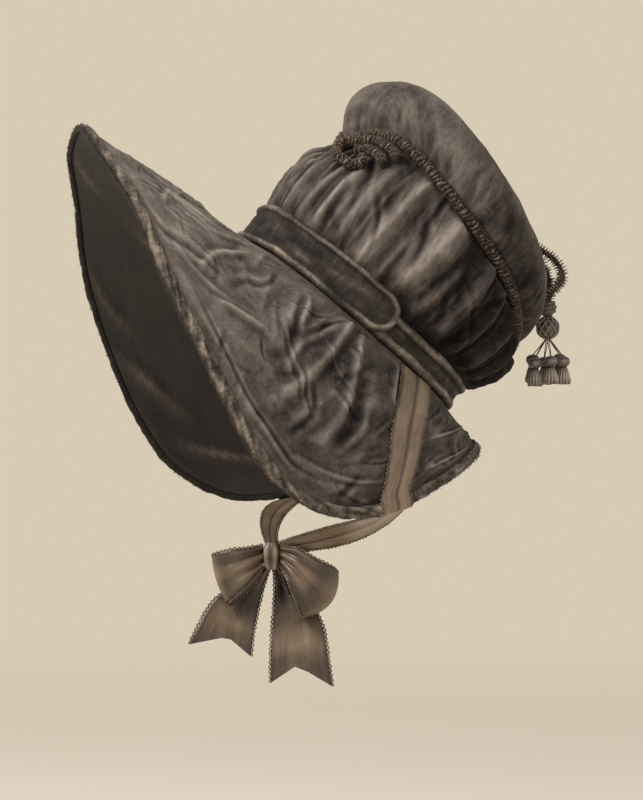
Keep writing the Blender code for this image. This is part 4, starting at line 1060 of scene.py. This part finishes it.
def makeTassel(k, start):
    turn = math.radians(60 * k + drop["turn"])
    out, down = np.array((math.cos(turn), math.sin(turn), 0)), np.array((0, 0, -1.0))
    uneven = drop["uneven"][k]
    head = start + out * (drop["spread"] + uneven * 0.4) + down * (drop["thread"] + uneven)
    store = startMesh()
    for side in (-1, 1):  # a doubled thread
        aside = np.cross(out, down) * 0.0005 * side
        leaves = start + out * 0.0014 - down * 0.0012 + aside
        bends = start + out * drop["spread"] * 0.55 + down * drop["thread"] * 0.45 + aside
        thread = smooth([leaves, bends, head + down * 0.0004 + aside * 0.5], 0.001)
        addTube(store, thread, drop["hairThread"], 6, False, 0.42)
    tilts = np.linspace(0.10, math.pi - 0.30, 18)
    spokes = np.linspace(0, 2 * math.pi, 48, endpoint=False)
    tall, wide = 0.5 - 0.5 * np.cos(tilts), drop["headRadius"] * 1.04 * np.sin(tilts) ** 0.85
    wound = 0.5 + 0.5 * np.cos(spokes * 16)
    reach = wide[:, None] * (1 - 0.035 * wound)
    headRings = roundPoints(reach, spokes, -drop["headHeight"] * tall[:, None])
    # a painted highlight band a little above the middle of the head, painted shade in the grooves between the
    # wound turns
    headShading = 0.36 + 0.30 * np.exp(-(((tall - 0.42) / 0.22) ** 2))[:, None] - 0.16 * wound
    addGrid(store, head + headRings, False, tall * 9, np.linspace(0, 30, 49), headShading)
    neck = drop["headHeight"] * 0.96
    narrow = drop["headRadius"] * 0.42
    shares = np.linspace(0, 1, 14)
    turns = np.linspace(0, 2 * math.pi, 78, endpoint=False)
    rings = []
    for share in shares:
        flute = 0.05 + 0.17 * share
        hem = 1 - 0.10 * max(share - 0.85, 0) / 0.15
        reach = narrow + (drop["skirtRadius"] * 1.06 - narrow) * share ** 0.62 * hem
        radius = reach * (1 - flute * (0.5 + 0.5 * np.cos(turns * drop["flutes"] + k)))
        low = neck + drop["skirtLength"] * share * (0.92 + 0.09 * np.sin(turns * 5 + 2 * k) * share)
        rings.append(head + roundPoints(radius, turns, -low))
    # painted shade in the flutes and under the head, and lighter further down the skirt
    furrow = (0.5 + 0.5 * np.cos(turns * drop["flutes"] + k))[None]
    wearAndShading = 0.42 - 0.46 * furrow * (0.5 + 0.5 * shares[:, None]) + 0.52 * np.sin(shares[:, None] * 2.6)
    addGrid(store, np.array(rings), False, shares * 14, np.linspace(0, 36, 79), wearAndShading)
    neckTurns = np.radians(np.arange(0, 360, 15))
    for row in range(2):
        circle = roundPoints(drop["neckRadius"], neckTurns, -neck - 0.0003 - 0.0008 * row)
        addTube(store, head + circle, drop["neckThread"], 6, True, 0.12)
    return addPiece(f"tasselSilk{k + 1}", store, silk, [f"tassel_{k + 1}"])


makeDrop()
print("drop made")

# Ribbon ties and bow. The bow's rows are in shares of its reach, from its middle.
ribbonSize = {"picotPitch": 0.0034, "picotReach": 0.0014, "picotThread": 0.00062}
bow = {"reach": 0.045, "turn": math.radians(73), "place": np.array((0.0060, -0.0563, -0.1687))}
bowColumns = "right up lowRight lowUp toward round notch"
loopLeft = table(bowColumns, [
    (-0.145, 0.170, -0.145, -0.200, 0.035, 0.00, 0), (-0.430, 0.130, -0.350, -0.400, 0.170, 0.00, 0),
    (-0.680, 0.100, -0.550, -0.600, 0.200, 0.02, 0), (-0.930, 0.030, -0.700, -0.740, 0.130, 0.04, 0),
    (-0.990, -0.020, -0.740, -0.800, 0.010, 0.05, 0), (-0.920, -0.060, -0.680, -0.820, -0.110, 0.04, 0),
    (-0.660, -0.030, -0.420, -0.610, -0.130, 0.00, 0), (-0.380, 0.030, -0.220, -0.380, -0.090, 0.00, 0),
    (-0.145, 0.080, -0.145, -0.210, -0.035, 0.00, 0),
])
loopRight = table(bowColumns, [
    (0.145, 0.150, 0.145, -0.180, 0.035, 0.00, 0), (0.450, 0.110, 0.280, -0.440, 0.220, 0.02, 0),
    (0.750, -0.050, 0.400, -0.720, 0.280, 0.10, 0), (1.000, -0.180, 0.490, -0.950, 0.220, 0.18, 0),
    (1.100, -0.290, 0.540, -1.020, 0.050, 0.20, 0), (1.030, -0.330, 0.500, -0.990, -0.110, 0.16, 0),
    (0.700, -0.160, 0.330, -0.700, -0.130, 0.04, 0), (0.400, -0.030, 0.200, -0.400, -0.090, 0.00, 0),
    (0.145, 0.050, 0.145, -0.150, -0.035, 0.00, 0),
])
tailLeft = table(bowColumns, [
    (-0.100, -0.170, -0.020, -0.170, -0.080, 0.00, 0), (-0.500, -0.450, -0.150, -0.570, -0.280, 0.00, 0),
    (-0.850, -0.660, -0.230, -0.900, -0.240, 0.00, 0), (-1.070, -0.900, -0.300, -1.250, -0.150, 0.00, 0),
    (-1.220, -1.170, -0.330, -1.470, -0.050, 0.00, 0.08), (-1.370, -1.480, -0.350, -1.680, 0.000, 0.00, 0.26),
])
tailRight = table(bowColumns, [
    (0.020, -0.170, 0.100, -0.170, -0.080, 0.00, 0), (0.050, -0.500, 0.420, -0.500, -0.290, 0.00, 0),
    (0.030, -0.900, 0.700, -0.880, -0.260, 0.00, 0), (0.000, -1.330, 0.860, -1.250, -0.170, 0.00, 0),
    (-0.020, -1.750, 0.930, -1.680, -0.050, 0.00, 0.10), (-0.020, -2.120, 1.000, -2.180, 0.000, 0.00, 0.33),
])
nearBends = np.array(((0.050, -0.0243, -0.1440), (0.050, 0.0030, -0.1650)))
farBends = np.array(((-0.050, -0.0555, -0.1356), (-0.050, -0.0396, -0.1389)))


def bowPoint(right, up, toward):
    across = np.array((math.cos(bow["turn"]), math.sin(bow["turn"]), 0))
    forward = np.array((math.sin(bow["turn"]), -math.cos(bow["turn"]), 0))
    right, up, toward = (np.asarray(x, float)[..., None] for x in (right, up, toward))
    return bow["place"] + (across * right + forward * toward + np.array((0, 0, 1.0)) * up) * bow["reach"]


# Small loops of thread along a ribbon's edge.
def addPicots(store, edge, away):
    along = lengthsAlong(edge)
    count = int(along[-1] / ribbonSize["picotPitch"])
    for n in range(count):
        span = (np.linspace(0.06, 0.94, 6) + n) * along[-1] / count
        foot = np.stack([np.interp(span, along, edge[:, c]) for c in range(3)], -1)
        out = np.stack([np.interp(span, along, away[:, c]) for c in range(3)], -1)
        arch = np.sin(np.linspace(0, math.pi, 6))[:, None] * ribbonSize["picotReach"]
        arch = arch * random.uniform(0.75, 1.15)
        addTube(store, foot + out * arch, ribbonSize["picotThread"], 4, False, random.uniform(0.35, 0.65))


# A strip of satin ribbon through rows of points across it, with picot edges.
def makeRibbon(name, rows, stands, wearAndShading):
    along, across = np.gradient(rows, axis=0), np.gradient(rows, axis=1)
    normal = unit(np.cross(along, across)) * cloth["satin"] / 2
    store = startMesh()
    middle = rows[:, rows.shape[1] // 2]
    run = lengthsAlong(middle)
    width = np.linalg.norm(np.diff(rows, axis=1), axis=2).sum(1).mean()
    pattern = wallPattern(np.linspace(0, width * 1000, rows.shape[1]))
    side = np.linspace(0, 1, rows.shape[1])[None]
    wearAndShading = wearAndShading - 0.22 * np.exp(-((np.minimum(side, 1 - side) / 0.035) ** 2))  # dark selvedges
    wallWearAndShading = np.concatenate([wearAndShading, wearAndShading[:, ::-1]], 1)
    addGrid(store, wallSections(rows + normal, rows - normal), False, run * 1000, pattern, wallWearAndShading)
    unitAcross = unit(across)
    addPicots(store, rows[:, 0], -unitAcross[:, 0])
    addPicots(store, rows[:, -1], unitAcross[:, -1])
    piece = addPiece(name, store, satin, stands)


# Rows of points across a bow's loop or tail, smooth along it, with soft creases that run from the knot, painted
# lighter on their crests and darker in their hollows as highlight and shade, and lights across it: painted
# light and shade in bands across it, and a painted light along its middle.
def bowStrip(rows, count, across, creases, glow):
    keys = np.stack([rows[name] for name in bowColumns.split()], -1)
    ends = np.concatenate([[2 * keys[0] - keys[1]], keys, [2 * keys[-1] - keys[-2]]])
    place = np.linspace(0, len(keys) - 1, count)
    i = np.minimum(place.astype(int), len(keys) - 2)
    at = between(ends[i], ends[i + 1], ends[i + 2], ends[i + 3], (place - i)[:, None])
    share = np.linspace(0, 1, across)[None]
    first, second = at[:, 0:2], at[:, 2:4]
    way = unit(first + second)
    flat = first[:, None] * (1 - share[..., None]) + second[:, None] * share[..., None]
    flat = flat + (way * at[:, 5:6])[:, None] * (4 * share * (1 - share))[..., None]
    flat = flat - (way * at[:, 6:7])[:, None] * (1 - np.abs(2 * share - 1))[..., None]
    fade = np.exp(-((np.linalg.norm(flat, axis=-1) / 0.75) ** 2))
    wave = np.sin(share * math.pi * creases + 0.7) * 0.035 * fade
    wave = wave + grain(strip(flat[..., 0] * 2.2, flat[..., 1] * 2.2), 1.0, creases, 2) * 0.020
    run = np.linspace(0, 1, count)[:, None]
    lights = sum(high * np.exp(-(((run - place) / wide) ** 2)) for place, wide, high in glow)
    # crease highlight and shade, bands of painted light and shade, and a painted light along the middle
    wearAndShading = np.clip(0.37 + wave * 4.5 + lights + 0.06 * np.cos(share * math.pi * 2 - math.pi), 0, 1.1)
    return bowPoint(flat[..., 0], flat[..., 1], at[:, 4:5] + wave), wearAndShading


# Rows of points across a tie, from under the band, over the brim and its rim, and on to the knot.
def tieRows(side, bends, knotFront, knotBack):
    rest = cloth["velvet"] + 0.0012
    lines = []
    for across in np.linspace(0, 1, 11):
        depths = np.linspace(0.02, 0.86, 30)
        front, back = column(tieTable, "front", depths, "depth"), column(tieTable, "back", depths, "depth")
        around = (front + (back - front) * across) * side
        pleat = 0.0007 * math.exp(-(((across - 0.62) / 0.12) ** 2)) + 0.0004 * math.sin(across * 9)
        line = list(onBrim(around, depths, np.full(30, rest + pleat)))
        edge, inward, normal = (x[0] for x in rimFrame(around[-1:] + 2.0 * side))
        over = rest + 0.0018
        line.append(edge + inward * 0.0085 + normal * (over + pleat))
        line.append(edge + inward * 0.0040 + normal * (over + 0.0008))
        line.append(edge - inward * 0.0018 + normal * (over - 0.0002))
        past = edge - inward * 0.0034
        line.append(past + normal * 0.0013)
        leave = past - normal * 0.0033
        line.append(leave)
        bend = bends[0] * (1 - across) + bends[1] * across
        knot = knotFront * (1 - across) + knotBack * across
        for share in np.linspace(0.06, 1, 22):
            first, second = leave + (bend - leave) * share, bend + (knot - bend) * share
            line.append(first + (second - first) * share)
        lines.append(line)
    rows = np.swapaxes(np.array(lines), 0, 1)
    spread = np.linspace(0, 1, rows.shape[1])[None] * np.ones((rows.shape[0], 1))
    # painted shade along a line on the pleat with a painted highlight beside it; the tie is painted lighter
    # than the bow where it lies up on the brim, and darker from near the rim to the knot as painted shade
    pressed, beside = np.exp(-(((spread - 0.52) / 0.05) ** 2)), np.exp(-(((spread - 0.64) / 0.07) ** 2))
    wearAndShading = 0.66 - 0.35 * pressed + 0.12 * beside
    free = np.linspace(0, 1, rows.shape[0])[:, None]
    return rows, np.clip(wearAndShading - 0.14 * ramp(free, 0.5, 0.95), 0, 1.1)


def makeTies():
    rows, wearAndShading = tieRows(1, nearBends, bowPoint(0.095, 0.19, -0.07), bowPoint(0.095, 0.07, -0.07))
    makeRibbon("tieNearSatin", rows, ["tie_near"], wearAndShading)
    rows, wearAndShading = tieRows(-1, farBends, bowPoint(-0.08, 0.19, -0.02), bowPoint(0.07, 0.19, -0.02))
    makeRibbon("tieFarSatin", rows, ["tie_far"], wearAndShading)


def makeBow():
    loopLights = ((0.20, 0.10, 0.10), (0.31, 0.07, -0.10), (0.43, 0.07, 0.20))
    tailLights = ((0.20, 0.20, -0.16), (0.66, 0.15, 0.18), (1.0, 0.14, -0.04))
    for name, rows, creases, glow, node in (
        ("bowLoopLeftSatin", loopLeft, 5, loopLights, "bow_loop_left"),
        ("bowLoopRightSatin", loopRight, 6, loopLights, "bow_loop_right"),
        ("bowTailLeftSatin", tailLeft, 3, tailLights, "bow_tail_left"),
        ("bowTailRightSatin", tailRight, 4, tailLights, "bow_tail_right"),
    ):
        points, wearAndShading = bowStrip(rows, 72, 25, creases, glow)
        makeRibbon(name, points, [node], wearAndShading)
    highs = np.linspace(-1, 1, 26)
    turns = np.linspace(0, 2 * math.pi, 40, endpoint=False)
    widths = 0.55 + 0.45 * (1 - np.abs(highs) ** 3.0)
    pleats = 1 + 0.07 * np.cos(turns * 5 + 0.6)[None] * (1 - 0.3 * highs[:, None] ** 2)
    pleats = pleats + 0.03 * np.sin(highs * 5)[:, None]
    right = 0.152 * widths[:, None] * pleats * np.cos(turns)[None]
    toward = 0.135 * widths[:, None] * pleats * np.sin(turns)[None]
    rings = bowPoint(right, highs[:, None] * 0.236 * np.ones_like(right), toward)
    store = startMesh()
    # lighter on the pleats' crests and darker in their hollows: painted highlight and painted shade
    wearAndShading = np.clip(0.5 + (pleats - 1) * 4, 0, 1)
    addGrid(store, rings, False, np.linspace(0, 20, 26), np.linspace(0, 36, 41), wearAndShading)
    addPiece("bowKnotSatin", store, satin, ["bow_knot"])


makeBow()
makeTies()
print("ribbons made")

# Floor, light and camera. Places are measured from the target, as the camera sees it.
scene = bpy.context.scene
view = {"azimuth": math.radians(73), "elevation": math.radians(2), "distance": 4.5}
toCamera = Vector((
    math.sin(view["azimuth"]) * math.cos(view["elevation"]),
    -math.cos(view["azimuth"]) * math.cos(view["elevation"]),
    math.sin(view["elevation"]),
))
right = Vector((math.cos(view["azimuth"]), math.sin(view["azimuth"]), 0))
up = toCamera.cross(right)
target = right * -0.0150 + up * -0.05325


def makeFloor():
    material = bpy.data.materials.new("matt paper floor")
    material.use_nodes = True
    tree = material.node_tree
    paper = tree.nodes["Principled BSDF"]
    paper.inputs["Base Color"].default_value = hexColour("#eae3d3")
    paper.inputs["Roughness"].default_value = 1.0
    paper.inputs["Specular IOR Level"].default_value = 0.0
    place = addNode(tree, "TexCoord").outputs["Object"]
    away = addNode(tree, "VectorMath", {0: place}, operation="LENGTH").outputs["Value"]
    faded = addNode(tree, "MapRange", {
        "Value": away, "From Min": 0.3, "From Max": 2.6, "To Min": 0.0, "To Max": 1.0,
    }, interpolation_type="SMOOTHSTEP")
    clear = addNode(tree, "BsdfTransparent")
    mixed = addNode(tree, "MixShader", {
        0: faded.outputs["Result"], 1: paper.outputs[0], 2: clear.outputs[0],
    })
    tree.links.new(mixed.outputs[0], tree.nodes["Material Output"].inputs["Surface"])
    bpy.ops.mesh.primitive_circle_add(vertices=96, radius=3.0, fill_type="NGON", location=(0, 0, -0.42))
    floor = bpy.context.object
    floor.name = "floor"
    floor.data.materials.append(material)


def makeLight(name, place, size, power, colour):
    lamp = bpy.data.lights.new(name, "AREA")
    lamp.size = size
    lamp.energy = power
    lamp.color = hexColour(colour)[:3]
    light = bpy.data.objects.new(name, lamp)
    scene.collection.objects.link(light)
    light.location = target + right * place[0] + up * place[1] + toCamera * place[2]
    light.rotation_euler = (target - light.location).to_track_quat("-Z", "Y").to_euler()


makeFloor()
makeLight("keyLight", (-1.5, 1.7, 1.3), 0.9, 66, "#fff9f3")
makeLight("fillLight", (1.6, 0.3, 1.6), 2.0, 10, "#fff9f3")
world = bpy.data.worlds.new("studio")
world.use_nodes = True
seen = world.node_tree.nodes["Background"]  # the cream sheet behind, while the room's light is neutral
seen.inputs["Color"].default_value = hexColour("#d7cbb4")
room = addNode(world.node_tree, "Background", {"Color": hexColour("#c2bfbc"), "Strength": 0.85})
which = addNode(world.node_tree, "MixShader", {
    0: addNode(world.node_tree, "LightPath").outputs["Is Camera Ray"], 1: room.outputs[0], 2: seen.outputs[0],
})
world.node_tree.links.new(which.outputs[0], world.node_tree.nodes["World Output"].inputs["Surface"])
scene.world = world

camera = bpy.data.objects.new("camera", bpy.data.cameras.new("camera"))
scene.collection.objects.link(camera)
camera.location = target + toCamera * view["distance"]
camera.rotation_euler = (target - camera.location).to_track_quat("-Z", "Y").to_euler()
camera.data.lens = 270
camera.data.sensor_width = 36
camera.data.clip_end = 60
scene.camera = camera
scene.view_settings.view_transform = "Standard"
print("scene lit")
